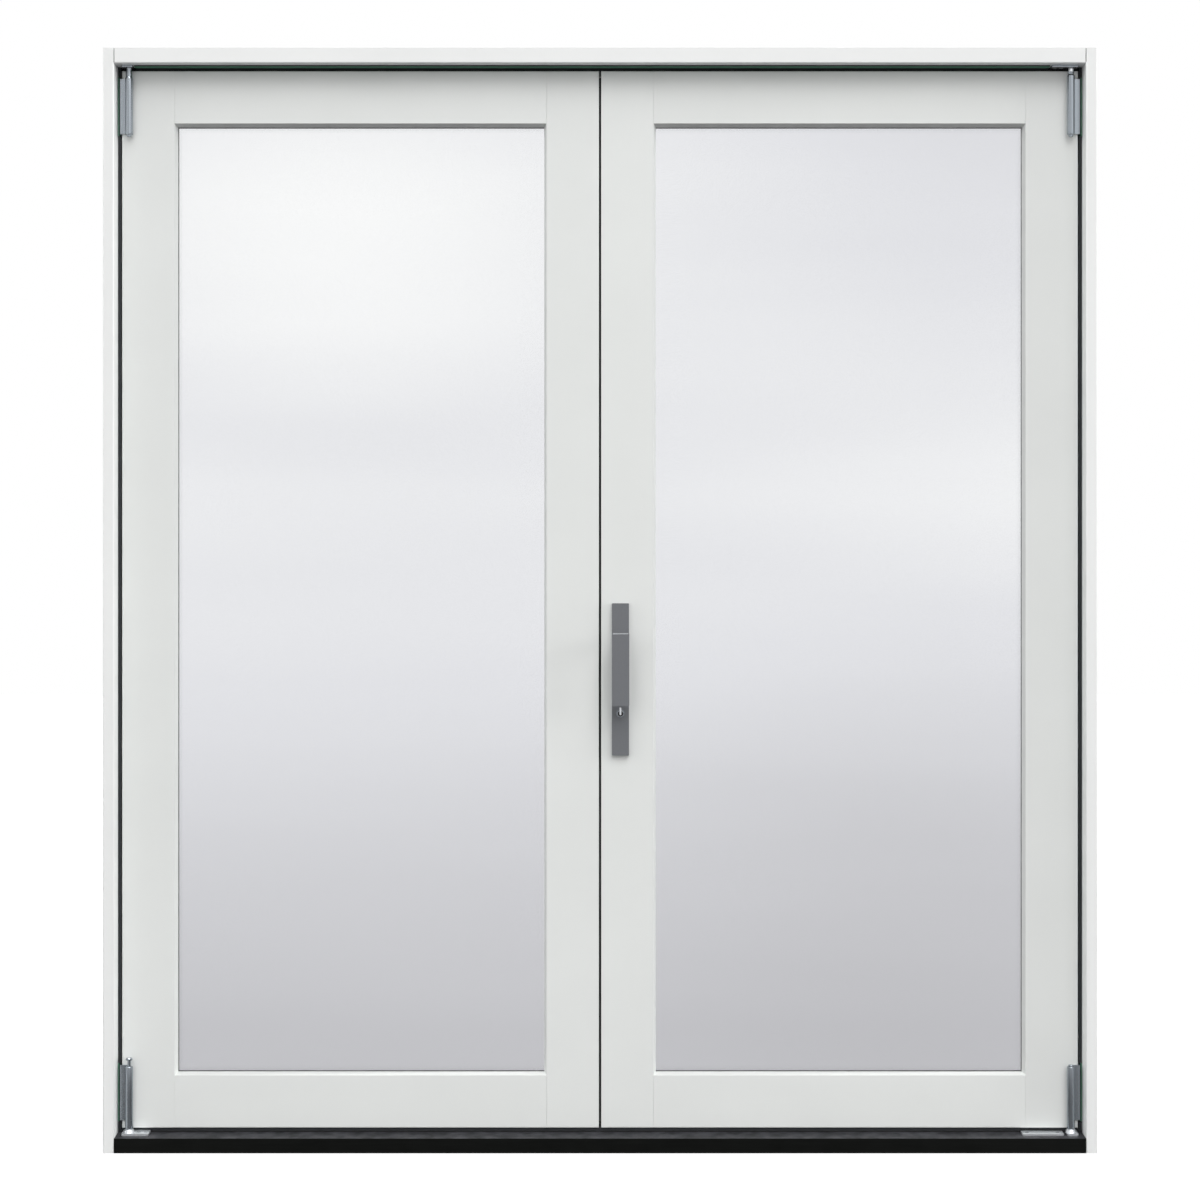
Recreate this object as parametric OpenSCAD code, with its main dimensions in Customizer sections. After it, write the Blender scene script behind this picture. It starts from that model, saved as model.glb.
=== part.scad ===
// Pair of glazed french doors in their frame, opening outward on corner pivots.
// Millimetres. X runs to the right, -Y is the outside, +Z is up.
// The origin is the middle of the sill's underside.
// The right leaf carries the lock. The left leaf is held by flush bolts.

/* [Frame] */
// Width over the two jambs
frame_w = 1790; // [1500:10:2200]
// Height from the underside of the sill to the top of the head
frame_h = 1990; // [1800:10:2400]
// Depth from the outside face to the inside face
frame_d = 125; // [122:1:150]
// Thickness of each jamb
jamb_t = 20; // [16:1:30]
// Thickness of the head
head_t = 27; // [24:1:40]
// How far the stops stand in from the jambs and the head
stop_in = 25; // [18:1:32]
// Height of the sill at its outside face
sill_nose_h = 26.5; // [24:0.5:28]
// Height of the level part of the sill under the leaves
sill_h = 30; // [29:0.5:36]
// Depth of the sloping front of the sill
sill_slope_d = 42.5; // [41:0.5:50]
// Height of the stop along the back of the sill
sill_stop_h = 55; // [48:1:62]
// Radius on the frame's outside edges
frame_arris_r = 2; // [1:0.5:4]
// Radius of the holes for the frame fixings
fixing_r = 5; // [3:0.5:6]
// Height of the lowest fixing above the sill's underside
fixing_z = 200; // [150:10:260]
// Spacing of the fixings along each jamb
fixing_pitch = 530; // [400:10:530]
// Setback of the fixings from the outside face
fixing_set = 72; // [64:1:80]

/* [Leaves] */
// Setback of the leaves from the frame's outside face
leaf_set = 35; // [30:1:36]
// Thickness of each leaf
leaf_t = 68; // [64:1:72]
// Gap between a leaf and its jamb
side_gap = 7.5; // [7:0.5:10]
// Gap between the leaves and the head
head_gap = 7; // [6:0.5:10]
// Gap between the leaves and the sill
sill_gap = 8; // [7.5:0.5:12]
// Gap between the two leaves
meeting_gap = 4; // [3:0.5:6]
// Depth of the nosing at the front of each meeting edge
nosing_d = 18; // [12:1:22]
// Set-back of the meeting edges behind the nosings
nosing_in = 4; // [3:0.5:6]
// Visible width of the stiles and rails
member_w = 95; // [90:1:120]
// Radius on the outside edges of the stiles and rails
arris_r = 1.5; // [1:0.5:5]
// Width of the bevel that runs down to the glass
bevel_w = 4.5; // [3:0.5:10]
// Depth of the bevel that runs down to the glass
bevel_d = 15; // [12:1:27]
// How far the glazing rebate cuts into the stiles and rails
rebate_in = 9; // [6:1:12]
// Hairline at each stile and rail joint
joint_gap = 0.2; // [0.1:0.1:0.5]

/* [Glazing] */
// Thickness of each pane
pane_t = 4; // [3:1:5]
// Width of the cavity between the panes
cavity_t = 16; // [10:1:16]
// Thickness of the glazing tapes
tape_t = 2; // [1:0.5:3]
// Gap between the edge of the glass and the rebate
edge_gap = 5; // [3:0.5:6]
// Width of the spacer bar between the panes
spacer_w = 6.5; // [5:0.5:7]
// Setback of the glazing tapes behind the bevel's edge
tape_set = 3; // [2:0.5:4]
// Setback of the inside beads behind the bevel's edge
bead_set = 4; // [2:0.5:5]
// Taper of the inside beads
bead_taper = 4; // [1:0.5:6]
// Length of each setting block under the glass
block_len = 80; // [50:5:120]
// Distance of the setting blocks from the ends of the glass
block_set = 120; // [60:5:180]

/* [Seals] */
// Gap between the back of the leaves and the stops
stop_gap = 4; // [3.5:0.5:6]
// Width of the seal on the stops
seal_w = 8; // [6:1:10]
// Free space between the stop seal and the leaves, for their swing
seal_clear = 1.8; // [1.6:0.1:2.5]
// Thickness of the weather strips
strip_t = 2; // [1:0.5:2.5]
// Width of the weather strips on the jambs
jamb_strip_w = 15; // [10:1:20]
// Setback of the jamb weather strips behind the gap seals
jamb_strip_set = 1; // [0.5:0.5:8]
// Setback of the head weather strip from the frame's outside face
head_strip_set = 20; // [15:1:24]
// Depth of the seals in the gaps round the leaves
gap_seal_d = 5; // [3:0.5:6]
// Setback of the jambs' gap seals behind the leaves' front
gap_seal_set = 1; // [0.5:0.5:2]
// Space left between the gap seals and the leaves
gap_seal_clear = 2; // [1.5:0.5:3]
// Width of the groove in the sill before its gap seal
seal_groove_w = 2.5; // [1.5:0.5:2.5]
// Depth of the groove in the sill before its gap seal
seal_groove_d = 2.5; // [1:0.5:4]
// Thickness of the fin that closes the meeting gap
fin_t = 3; // [2:0.5:5]
// Setback of the meeting seal from the back of the leaves
fin_set = 6; // [3:1:9]
// Space left between the fin and the other leaf
fin_clear = 0.5; // [0.3:0.1:1]

/* [Hinges] */
// Distance of the pivot from the leaf's hinge edge
pivot_in = 14.5; // [12:0.5:18]
// Distance of the pivot in front of the leaf
pivot_out = 8; // [7.5:0.5:10]
// Radius of the hinge barrels
barrel_r = 7; // [6:0.5:7.5]
// Radius of the pivot pins
pin_r = 4; // [3:0.5:4.5]
// Length of the top barrels
top_barrel_len = 109.5; // [100:0.5:130]
// Length of the bottom barrels
bottom_barrel_len = 113; // [100:0.5:130]
// Height of the tapered shoulder on the left top barrel
left_shoulder_h = 8; // [4:0.5:12]
// Height of the tapered shoulder on the right top barrel
right_shoulder_h = 2.5; // [1:0.5:4]
// How far the top pins stand out below their barrels
top_pin_out = 3; // [1:0.5:6]
// Distance of the top barrels below the leaf's top
top_barrel_set = 8; // [6:0.5:12]
// Length of the hinge plates along the leaf's edge
plate_len = 100; // [80:1:100]
// Distance of the top hinge plates below the leaf's top
top_plate_set = 15; // [10:1:18]
// Distance of the bottom hinge plates above the leaf's bottom
bottom_plate_set = 14.5; // [10:0.5:20]
// Thickness of the hinge plates
plate_t = 3; // [2:0.5:3.5]
// Depth of the hinge plates along the leaf's edge
plate_d = 48; // [40:1:60]
// Screws in each hinge plate
plate_screws_n = 3; // [2:1:4]
// Length of the bracket tail toward the middle of the doors
tail_len = 37; // [30:1:50]
// Length of a compact bracket on that side
stub_len = 8.5; // [8:0.5:12]
// Length of the brackets on the jamb's side of the pivot
heel_len = 12; // [9:0.5:14]
// Depth of the brackets
bracket_d = 25; // [20:1:26]
// Thickness of the bracket plates
bracket_t = 4; // [3:0.5:4.5]
// Radius of the bottom bosses under their barrels
boss_r = 7.5; // [6:0.5:8]
// Radius of the bottom bosses at their foot
boss_foot_r = 10.5; // [9:0.5:11]
// Height of the tall bottom left pin above its barrel
tall_pin_h = 16; // [12:0.5:24]
// Length of the strip on the sill beside the right bracket
sill_strip_len = 75; // [50:1:90]
// Gap between that strip and its bracket
sill_strip_gap = 6; // [4:1:20]
// Thickness of that strip
sill_strip_t = 3; // [2:0.5:4]
// Depth of that strip
sill_strip_d = 20; // [14:1:24]

/* [Handle] */
// Distance of the handle's axis from the meeting edge
backset = 35; // [33:0.5:38]
// Height of the spindle above the sill's underside
spindle_z = 920; // [880:5:1000]
// Side of the square spindle
spindle_s = 8; // [7:0.5:9]
// Width of the handle plates and the levers
handle_w = 31; // [30:0.5:36]
// Thickness of the handle plates
handle_t = 8; // [6:0.5:10]
// Height of the handle plates above the spindle
handle_up = 70; // [68:1:90]
// Height of the handle plates below the spindle
handle_down = 206; // [195:1:230]
// Length of the levers from the spindle to the free end
lever_len = 115; // [70:1:115]
// Length of the levers past the spindle
lever_heel = 16; // [14:0.5:22]
// Thickness of the levers
lever_t = 11; // [8:0.5:14]
// Clear space between a lever and its plate
lever_gap = 23; // [20:1:40]
// Radius of the lever necks
neck_r = 9.5; // [9:0.5:11]

/* [Lock] */
// Distance of the turn piece below the spindle
turn_drop = 130; // [126:1:140]
// Radius of the turn piece's outside plug
plug_r = 5.5; // [5:0.5:7]
// How far the outside plug stands out of its plate
plug_out = 3; // [1:0.5:5]
// Teeth on the drive pinion
drive_n = 14; // [12:2:14]
// Module of the drive pinion and its racks
drive_m = 2; // [1.8:0.1:2]
// Teeth on the deadbolt's pinion
turn_n = 18; // [14:4:18]
// Module of the deadbolt's pinion and its rack
turn_m = 1.5; // [1.3:0.1:1.5]
// Pressure angle of all the teeth
pressure_a = 25; // [20:1:25]
// Backlash between teeth
backlash = 0.3; // [0.2:0.05:0.4]
// Width of the racks and the rods' pinion teeth
rack_w = 6; // [5:0.5:7]
// Thickness of the rack bars behind their teeth
rack_bar_t = 7; // [6:0.5:8]
// Radius of the rods
rod_r = 4; // [3:0.5:4]
// Width of the deadbolt
bolt_w = 10; // [8:0.5:10]
// Height of the deadbolt
bolt_h = 14; // [10:0.5:16]
// Wall of the lock case
case_wall = 2; // [1.5:0.5:3]
// Thickness of the forend, keeps and edge plates
edge_plate_t = 3; // [2:0.5:4]
// Width of the forend, keeps and edge plates
edge_plate_w = 18; // [16:0.5:20]

/* [Flush bolts] */
// Travel of the flush bolts
flush_travel = 18; // [12:1:20]
// Length of the flush bolts
flush_len = 180; // [150:5:240]
// Length of the flush bolt edge plates
flush_plate_len = 120; // [90:5:140]

/* [Fits] */
// Radial running clearance of pins, necks and shafts
fit = 0.06; // [0.03:0.01:0.1]
// Clearance between sliding pieces and their channels
slide = 1; // [0.6:0.1:1.2]
// Clearance of fixed pieces in their holes
snug = 0.05; // [0.02:0.01:0.1]
// Face gap between a barrel and the boss that carries it
seat = 0.3; // [0.1:0.1:0.5]
// Radius of screw heads
head_r = 4; // [3:0.5:4.5]
// Radius of screw shanks
shank_r = 2; // [1.5:0.25:2.5]
// Length of the wood screws
screw_len = 22; // [14:1:24]

/* [Hidden] */
$fn = 48;
eps = 1;

// Colours as the photo shows them
frame_white = "#ebebeb";
leaf_white = "#dde0de";
sill_black = "#181a18";
zinc = "#a4acb4";
graphite = "#6d6f73";
seal_black = "#2a2d30";
strip_green = "#3c4e46";
glass_tint = "#e8eaee";
steel = "#b8bcc0";

// Frame lines
x_out = frame_w / 2;
x_jamb = x_out - jamb_t;
x_stop = x_jamb - stop_in;
y_front = -frame_d / 2;
y_back = frame_d / 2;
z_head = frame_h - head_t;
z_head_stop = z_head - stop_in;

// Leaf lines, for the right leaf
y_leaf = y_front + leaf_set;
y_leaf_back = y_leaf + leaf_t;
y_stop = y_leaf_back + stop_gap;
x_meet = meeting_gap / 2;
x_edge = x_meet + nosing_in;
x_hinge = x_jamb - side_gap;
leaf_w = x_hinge - x_meet;
z_leaf = sill_h + sill_gap;
z_leaf_top = z_head - head_gap;
leaf_h = z_leaf_top - z_leaf;
rebate_u = member_w - rebate_in;
sight_u = member_w + bevel_w;
bead_u = sight_u - bead_set;

// Glazing lines, measured from the leaf's front and edges
glass_u = rebate_u + edge_gap;
outer_v = bevel_d + tape_t;
cavity_v = outer_v + pane_t;
inner_v = cavity_v + cavity_t;
bead_v = inner_v + pane_t + tape_t;

// Pivot lines, for the right leaf
x_pivot = x_hinge - pivot_in;
y_pivot = y_leaf - pivot_out;
z_top_barrel = z_leaf_top - top_barrel_set;
z_bottom_barrel = z_leaf + snug;
z_tall_pin = z_bottom_barrel + bottom_barrel_len + tall_pin_h;
y_bracket = y_pivot - bracket_d / 2;
pin_head_r = 6;
pin_head_h = 4.5;
pin_cap_h = 3;
pin_seat = 1;
shoulder_in = (barrel_r - pin_r) * 3 / 4;
barrel_rim = 1;
neck_wall = 0.8;
collar_wall = 1.4;
groove_h = 1.8;
tail_screw_set = 7;
tail_screw_pitch = 12;
strip_screw_set = 10;
bracket_round = 3;
strip_round = 2;

// Seal lines
seal_room = 2;
plate_room = 3;
strip_room = 0.5;
y_head_seal = y_bracket + bracket_d + seal_room;

// Handle and lock lines
x_spindle = x_meet + backset;
z_turn = spindle_z - turn_drop;
rack_set = 31.5;
rod_bolt_gap = 2;
y_racks = y_leaf + rack_set;
y_bolt = y_racks + rod_r + rod_bolt_gap + bolt_w / 2;
drive_r = drive_m * drive_n / 2;
turn_r = turn_m * turn_n / 2;
lever_angle = 90;
rod_travel = drive_r * lever_angle * PI / 180;
bolt_travel = turn_r * lever_angle * PI / 180;
dedendum = 1.25;
drive_root = dedendum * drive_m;
turn_root = dedendum * turn_m;
x_top_rod = x_spindle + drive_r + drive_root + rack_bar_t / 2;
x_bottom_rod = x_spindle - drive_r - drive_root - rack_bar_t / 2;
mesh_len = 4.5 * drive_m;
turn_mesh_len = 5 * turn_m;
z_bolt_top = z_turn - turn_r - turn_root;
bolt_tip = x_edge + 0.5;
bolt_tail = x_spindle + turn_mesh_len + bolt_travel;
hub_r = spindle_s * 0.5 * sqrt(2) + 2.4;
turn_shaft_r = 4.5;
x_case = x_edge + edge_plate_t;
x_case_in = x_case + case_wall;
x_case_end = bolt_tail + 2;
y_cavity = y_racks - rod_r - 0.5;
y_cavity_end = y_bolt + bolt_w / 2 + 1;
z_cavity = z_bolt_top - bolt_h - 1.5;
bar_over = 6;
z_cavity_end = spindle_z + mesh_len + bar_over + rod_travel + 2;
forend_over = 16;
bolt_screw_r = 2.5;
z_upper_screw = z_cavity_end + case_wall + 9;
z_lower_screw = z_cavity - case_wall - 11;
rod_inset = 1;
keep_len = 50;
keep_t = 2;
bore_r = rod_r + slide;
keep_bore_extra = 5;
x_flush = x_edge + edge_plate_t + bore_r + 3;
thumb_h = 10;
thumb_w = 6;
thumb_out = 2;
flush_plate_set = 45;
head_h = head_r - shank_r;
top_screw_len = screw_len - bracket_t;
keep_screw_len = screw_len - 3 * keep_t;
keep_screw_set = 8;
plate_round = 3;
handle_round = 1.5;
pane_block_gap = 0.1;

// Height of the sill's top at a depth
function sill_top(y) =
    y < y_front + sill_slope_d
        ? sill_nose_h + (y - y_front) * (sill_h - sill_nose_h) / sill_slope_d
        : sill_h;

// Box between two corners
module box(p, q) {
    translate(p) cube(q - p);
}

// Outline in X and Z, drawn out along Y
module along_y(y0, y1) {
    translate([0, y1, 0]) rotate([90, 0, 0]) linear_extrude(y1 - y0) children();
}

// Outline in Y and Z, drawn out along X
module along_x(x0, x1) {
    translate([x0, 0, 0]) rotate([90, 0, 90]) linear_extrude(x1 - x0) children();
}

// Round bar along Y
module bar_y(x, z, y0, y1, r) {
    along_y(y0, y1) translate([x, z]) circle(r);
}

// Round bar along Z
module bar_z(x, y, z0, z1, r) {
    translate([x, y, z0]) cylinder(h = z1 - z0, r = r);
}

// Rectangle with round corners, between two corners
module soft_rect(p, q, r) {
    translate([p.x + r, p.y]) square([q.x - p.x - 2 * r, q.y - p.y]);
    translate([p.x, p.y + r]) square([q.x - p.x, q.y - p.y - 2 * r]);
    for (x = [p.x + r, q.x - r], y = [p.y + r, q.y - r]) translate([x, y]) circle(r);
}

// What rounding takes off a corner that sits at the origin
module corner_cut(r) {
    difference() {
        translate([-eps, -eps]) square(r + eps);
        translate([r, r]) circle(r);
    }
}

// Both sides of the part from its right side
module both_sides() {
    children();
    mirror([1, 0, 0]) children();
}

// Countersunk screw with its head's top at the origin, pointing down
module screw(length, gap = 0) {
    translate([0, 0, -head_h]) cylinder(h = head_h + gap, r1 = shank_r + gap, r2 = head_r + gap);
    translate([0, 0, -length - gap]) cylinder(h = length - head_h + 2 * gap, r = shank_r + gap);
}

// Polar angle of a gear tooth's flank at a radius, from the tooth's middle
function roll(a) = tan(a) * 180 / PI - a;
function flank_angle(m, n, r) =
    (PI * m / 2 - backlash / 2) / (m * n) * 180 / PI
    + roll(pressure_a) - roll(acos(min(1, m * n / 2 * cos(pressure_a) / r)));

// Gear outline with involute flanks and one tooth on the X axis
module gear_outline(m, n) {
    pitch = m * n / 2;
    base = pitch * cos(pressure_a);
    root = pitch - dedendum * m;
    tip = pitch + m;
    start = max(base, root);
    steps = 4;
    radii = concat([root], [for (i = [0:steps]) start + (tip - start) * i / steps]);
    last = len(radii) - 1;
    points = [
        for (tooth = [0:n - 1], side = [-1, 1], i = [0:last])
            let (r = radii[side < 0 ? i : last - i],
                 a = tooth * 360 / n + side * flank_angle(m, n, max(r, start)))
            r * [cos(a), sin(a)]
    ];
    polygon(points);
}

// Rack teeth that point up from their pitch line, one at each whole pitch
module rack_teeth(m, first, last) {
    pitch = PI * m;
    half = pitch / 4 - backlash / 4;
    lean = tan(pressure_a) * m;
    for (i = [first:last]) translate([i * pitch, 0])
        polygon([
            [-half - dedendum * lean, -dedendum * m - 0.2],
            [half + dedendum * lean, -dedendum * m - 0.2],
            [half - lean, m],
            [-half + lean, m]
        ]);
}

// Stile or rail: U runs from the leaf's edge to the glass, V to the inside and W along it
module member(length, open_from, open_to, edge_step = 0) {
    difference() {
        union() {
            linear_extrude(length) difference() {
                square([member_w, leaf_t]);
                corner_cut(arris_r);
                translate([0, leaf_t]) mirror([0, 1]) corner_cut(arris_r);
                if (edge_step > 0) translate([-eps, nosing_d]) square([edge_step + eps, leaf_t]);
            }
            intersection() {
                translate([0, 0, open_from]) linear_extrude(open_to - open_from) polygon([
                    [rebate_u, 0], [member_w, 0], [sight_u, bevel_d], [rebate_u, bevel_d]
                ]);
                along_y(0, bevel_d) mitre(member_w, sight_u, open_from, open_to);
            }
        }
        box([rebate_u, bevel_d, open_from - rebate_in],
            [sight_u + eps, leaf_t + eps, open_to + rebate_in]);
    }
}

// Plan of a strip that is mitred where it meets its neighbours at both ends
module mitre(u0, u1, w0, w1) {
    polygon([
        [u0 - eps, w0 + eps], [u0, w0], [u1, w0 + u1 - u0],
        [u1, w1 - u1 + u0], [u0, w1], [u0 - eps, w1 - eps]
    ]);
}

// Places of a member in the right leaf
module as_meeting_stile() {
    translate([x_meet, y_leaf, z_leaf]) children();
}

module as_hinge_stile() {
    translate([x_hinge, y_leaf, z_leaf]) mirror([1, 0, 0]) children();
}

module as_bottom_rail() {
    translate([x_hinge, y_leaf, z_leaf]) rotate([0, -90, 0]) children();
}

module as_top_rail() {
    translate([x_hinge, y_leaf, z_leaf_top]) mirror([0, 0, 1]) rotate([0, -90, 0]) children();
}

// Stile, with the rails' rounded edges carried on across its ends
module stile(edge_step) {
    intersection() {
        member(leaf_h, member_w, leaf_h - member_w, edge_step);
        along_x(-eps, sight_u + eps) soft_rect([0, 0], [leaf_t, leaf_h], arris_r);
    }
}

module rail() {
    start = member_w + joint_gap;
    length = leaf_w - 2 * start;
    translate([0, 0, start]) member(length, -joint_gap, length + joint_gap);
}

// Slab of the glazing, inset from the leaf's edges
module glazing_slab(v0, v1, inset) {
    box([x_meet + inset, y_leaf + v0, z_leaf + inset],
        [x_hinge - inset, y_leaf + v1, z_leaf_top - inset]);
}

module glazing_ring(v0, v1, width) {
    difference() {
        glazing_slab(v0, v1, glass_u);
        glazing_slab(v0 - eps, v1 + eps, glass_u + width);
    }
}

module outer_pane() {
    glazing_slab(outer_v, cavity_v, glass_u);
}

module inner_pane() {
    glazing_slab(inner_v, inner_v + pane_t, glass_u);
}

module spacer() {
    glazing_ring(cavity_v, inner_v, spacer_w);
}

module tapes() {
    width = sight_u - glass_u - tape_set;
    glazing_ring(bevel_d, outer_v, width);
    glazing_ring(inner_v + pane_t, bead_v, width);
}

module setting_blocks() {
    for (x = [x_meet + glass_u + block_set, x_hinge - glass_u - block_set - block_len])
        box([x, y_leaf + outer_v, z_leaf + rebate_u],
            [x + block_len, y_leaf + inner_v + pane_t, z_leaf + glass_u - pane_block_gap]);
}

// Inside bead, mitred at both ends
module bead(w0, w1) {
    intersection() {
        translate([0, 0, w0]) linear_extrude(w1 - w0) polygon([
            [rebate_u, bead_v], [bead_u, bead_v], [bead_u - bead_taper, leaf_t], [rebate_u, leaf_t]
        ]);
        along_y(bead_v, leaf_t) polygon([
            [rebate_u, w0], [bead_u, w0 + bead_u - rebate_u],
            [bead_u, w1 - bead_u + rebate_u], [rebate_u, w1]
        ]);
    }
}

// The four beads of a leaf, with a hairline at their mitres
module beads() {
    start = rebate_u + joint_gap;
    as_meeting_stile() bead(start, leaf_h - start);
    as_hinge_stile() bead(start, leaf_h - start);
    as_bottom_rail() bead(start, leaf_w - start);
    as_top_rail() bead(start, leaf_w - start);
}

// Heights of the screws of a hinge plate, from its lower end
function plate_screw_z(i) = plate_len * (i + 0.5) / plate_screws_n;

module hinge_screw_set(z_plate, gap = 0) {
    for (i = [0:plate_screws_n - 1])
        translate([x_hinge + plate_t, y_leaf + plate_d / 2 + (i % 2 - 0.5) * plate_d / 3,
                   z_plate + plate_screw_z(i)])
            rotate([0, 90, 0]) screw(screw_len, gap);
}

z_top_plate = z_leaf_top - top_plate_set - plate_len;
z_bottom_plate = z_leaf + bottom_plate_set;

module hinge_screws(gap = 0) {
    hinge_screw_set(z_top_plate, gap);
    hinge_screw_set(z_bottom_plate, gap);
}

// Hinge: a barrel with a shoulder, a strip on the leaf's front and a plate round the leaf's edge
module hinge(z_barrel, barrel_len, z_plate, shoulder_h, shoulder) {
    difference() {
        union() {
            translate([x_pivot, y_pivot, z_barrel]) rotate_extrude() polygon([
                [0, 0], [barrel_r - barrel_rim, 0], [barrel_r, barrel_rim],
                [barrel_r, barrel_len - shoulder_h], [barrel_r - shoulder, barrel_len], [0, barrel_len]
            ]);
            box([x_pivot, y_leaf - plate_t, z_plate],
                [x_hinge + plate_t, y_leaf, z_plate + plate_len]);
            box([x_hinge, y_leaf - eps, z_plate],
                [x_hinge + plate_t, y_leaf + plate_d, z_plate + plate_len]);
        }
        bar_z(x_pivot, y_pivot, z_barrel - eps, z_barrel + barrel_len + eps, pin_r + fit);
        hinge_screw_set(z_plate, snug);
    }
}

module top_hinge(shoulder_h) {
    hinge(z_top_barrel - top_barrel_len, top_barrel_len, z_top_plate, shoulder_h, shoulder_in);
}

module bottom_hinge() {
    hinge(z_bottom_barrel, bottom_barrel_len, z_bottom_plate, barrel_rim, barrel_rim);
}

// Plan of a bracket round the right pivot, with its tail toward the middle of the doors
module bracket_plan(tail) {
    soft_rect([x_pivot - tail, y_bracket], [x_pivot + heel_len, y_bracket + bracket_d],
              bracket_round);
}

// Plate that lies on the sill's slope
module slope_plate(y0, y1, thick) {
    along_x(-x_jamb, x_jamb) polygon([
        [y0, sill_top(y0)], [y1, sill_top(y1)], [y1, sill_top(y1) + thick], [y0, sill_top(y0) + thick]
    ]);
}

// Places of the screws in a bracket's tail
tail_screw_x = x_pivot - tail_len + tail_screw_set;
bracket_screw_x = [tail_screw_x, tail_screw_x + tail_screw_pitch];

module bottom_screw(x, thick, gap = 0) {
    translate([x, y_pivot, sill_top(y_pivot) + thick]) screw(screw_len, gap);
}

// Bracket on the sill, with a boss that flares out at its foot
module bottom_bracket(tail) {
    z_foot = sill_top(y_pivot) + bracket_t / 2;
    difference() {
        union() {
            intersection() {
                linear_extrude(z_leaf) bracket_plan(tail);
                slope_plate(y_bracket, y_bracket + bracket_d, bracket_t);
            }
            translate([x_pivot, y_pivot, z_foot])
                cylinder(h = z_bottom_barrel - seat - z_foot, r1 = boss_foot_r, r2 = boss_r);
        }
        bar_z(x_pivot, y_pivot, sill_top(y_pivot) + pin_seat, z_leaf + eps, pin_r + snug);
        if (tail == tail_len) for (x = bracket_screw_x) bottom_screw(x, bracket_t, snug);
    }
}

// Bracket under the head, with a neck round its pin; the right one has a collar above a groove
module top_bracket(tail, collar) {
    z_plate = z_head - bracket_t;
    z_tip = z_top_barrel + seat;
    neck = pin_r + neck_wall;
    wide = pin_r + (collar ? collar_wall : neck_wall);
    difference() {
        union() {
            translate([0, 0, z_plate]) linear_extrude(bracket_t) bracket_plan(tail);
            bar_z(x_pivot, y_pivot, z_tip, z_plate + eps, neck);
            bar_z(x_pivot, y_pivot, z_tip + groove_h, z_plate + eps, wide);
        }
        bar_z(x_pivot, y_pivot, z_tip - eps, z_head - pin_seat, pin_r + snug);
        if (tail == tail_len) for (x = bracket_screw_x) top_screw(x, snug);
    }
}

module top_screw(x, gap = 0) {
    translate([x, y_pivot, z_head - bracket_t]) mirror([0, 0, 1]) screw(top_screw_len, gap);
}

module top_pin() {
    z_end = z_top_barrel - top_barrel_len - top_pin_out;
    bar_z(x_pivot, y_pivot, z_end, z_head - pin_seat, pin_r);
}

// Bottom pin with a collar that stands above its barrel and a domed head
module bottom_pin(z_end, neck) {
    z_barrel_end = z_bottom_barrel + bottom_barrel_len;
    translate([x_pivot, y_pivot, 0]) rotate_extrude() polygon(concat(
        [[0, sill_top(y_pivot) + pin_seat], [pin_r, sill_top(y_pivot) + pin_seat],
         [pin_r, z_barrel_end + seat]],
        neck ? [[pin_r - 1, z_barrel_end + seat], [pin_r - 1, z_end - pin_head_h],
                [pin_head_r, z_end - pin_head_h], [pin_head_r, z_end - pin_head_h / 2],
                [pin_head_r - 2, z_end]]
             : [[pin_r + 1, z_barrel_end + seat], [pin_r + 1, z_end - 1], [pin_r, z_end]],
        [[0, z_end]]
    ));
}

module pivot_pins() color(zinc) {
    both_sides() top_pin();
    bottom_pin(z_bottom_barrel + bottom_barrel_len + pin_cap_h, false);
    mirror([1, 0, 0]) bottom_pin(z_tall_pin, true);
}

// Strip on the sill beside the compact right bracket
sill_strip_x1 = x_pivot - stub_len - sill_strip_gap;
sill_strip_x0 = sill_strip_x1 - sill_strip_len;
sill_strip_screw_x = [sill_strip_x0 + strip_screw_set, sill_strip_x1 - strip_screw_set];

module sill_strip() color(zinc) {
    y0 = y_pivot - sill_strip_d / 2;
    difference() {
        intersection() {
            linear_extrude(z_leaf)
                soft_rect([sill_strip_x0, y0], [sill_strip_x1, y0 + sill_strip_d], strip_round);
            slope_plate(y0, y0 + sill_strip_d, sill_strip_t);
        }
        for (x = sill_strip_screw_x) bottom_screw(x, sill_strip_t, snug);
    }
}

// Keep plates: one for a rod of the right leaf, one for a flush bolt of the left
module keep_plate(x, z0, gap = 0) {
    difference() {
        translate([0, 0, z0 - gap]) linear_extrude(keep_t + 2 * gap)
            soft_rect([x - keep_len / 2 - gap, y_racks - edge_plate_w / 2 - gap],
                      [x + keep_len / 2 + gap, y_racks + edge_plate_w / 2 + gap], plate_round);
        if (gap == 0) {
            bar_z(x, y_racks, z0 - eps, z0 + keep_t + eps, bore_r);
            for (dx = keep_screw_dx) translate([x + dx, y_racks, 0]) keep_screw(z0, snug);
        }
    }
}

keep_screw_dx = [-keep_len / 2 + keep_screw_set, keep_len / 2 - keep_screw_set];

// Screw of a keep, pointing into the head or the sill
module keep_screw(z0, gap = 0) {
    if (z0 > frame_h / 2) translate([0, 0, z0]) mirror([0, 0, 1]) screw(keep_screw_len, gap);
    else translate([0, 0, z0 + keep_t]) screw(keep_screw_len, gap);
}

module head_keeps() color(steel) {
    keep_plate(x_top_rod, z_head);
    keep_plate(-x_flush, z_head);
}

module sill_keeps() color(steel) {
    keep_plate(x_bottom_rod, sill_h - keep_t);
    keep_plate(-x_flush, sill_h - keep_t);
}

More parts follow.
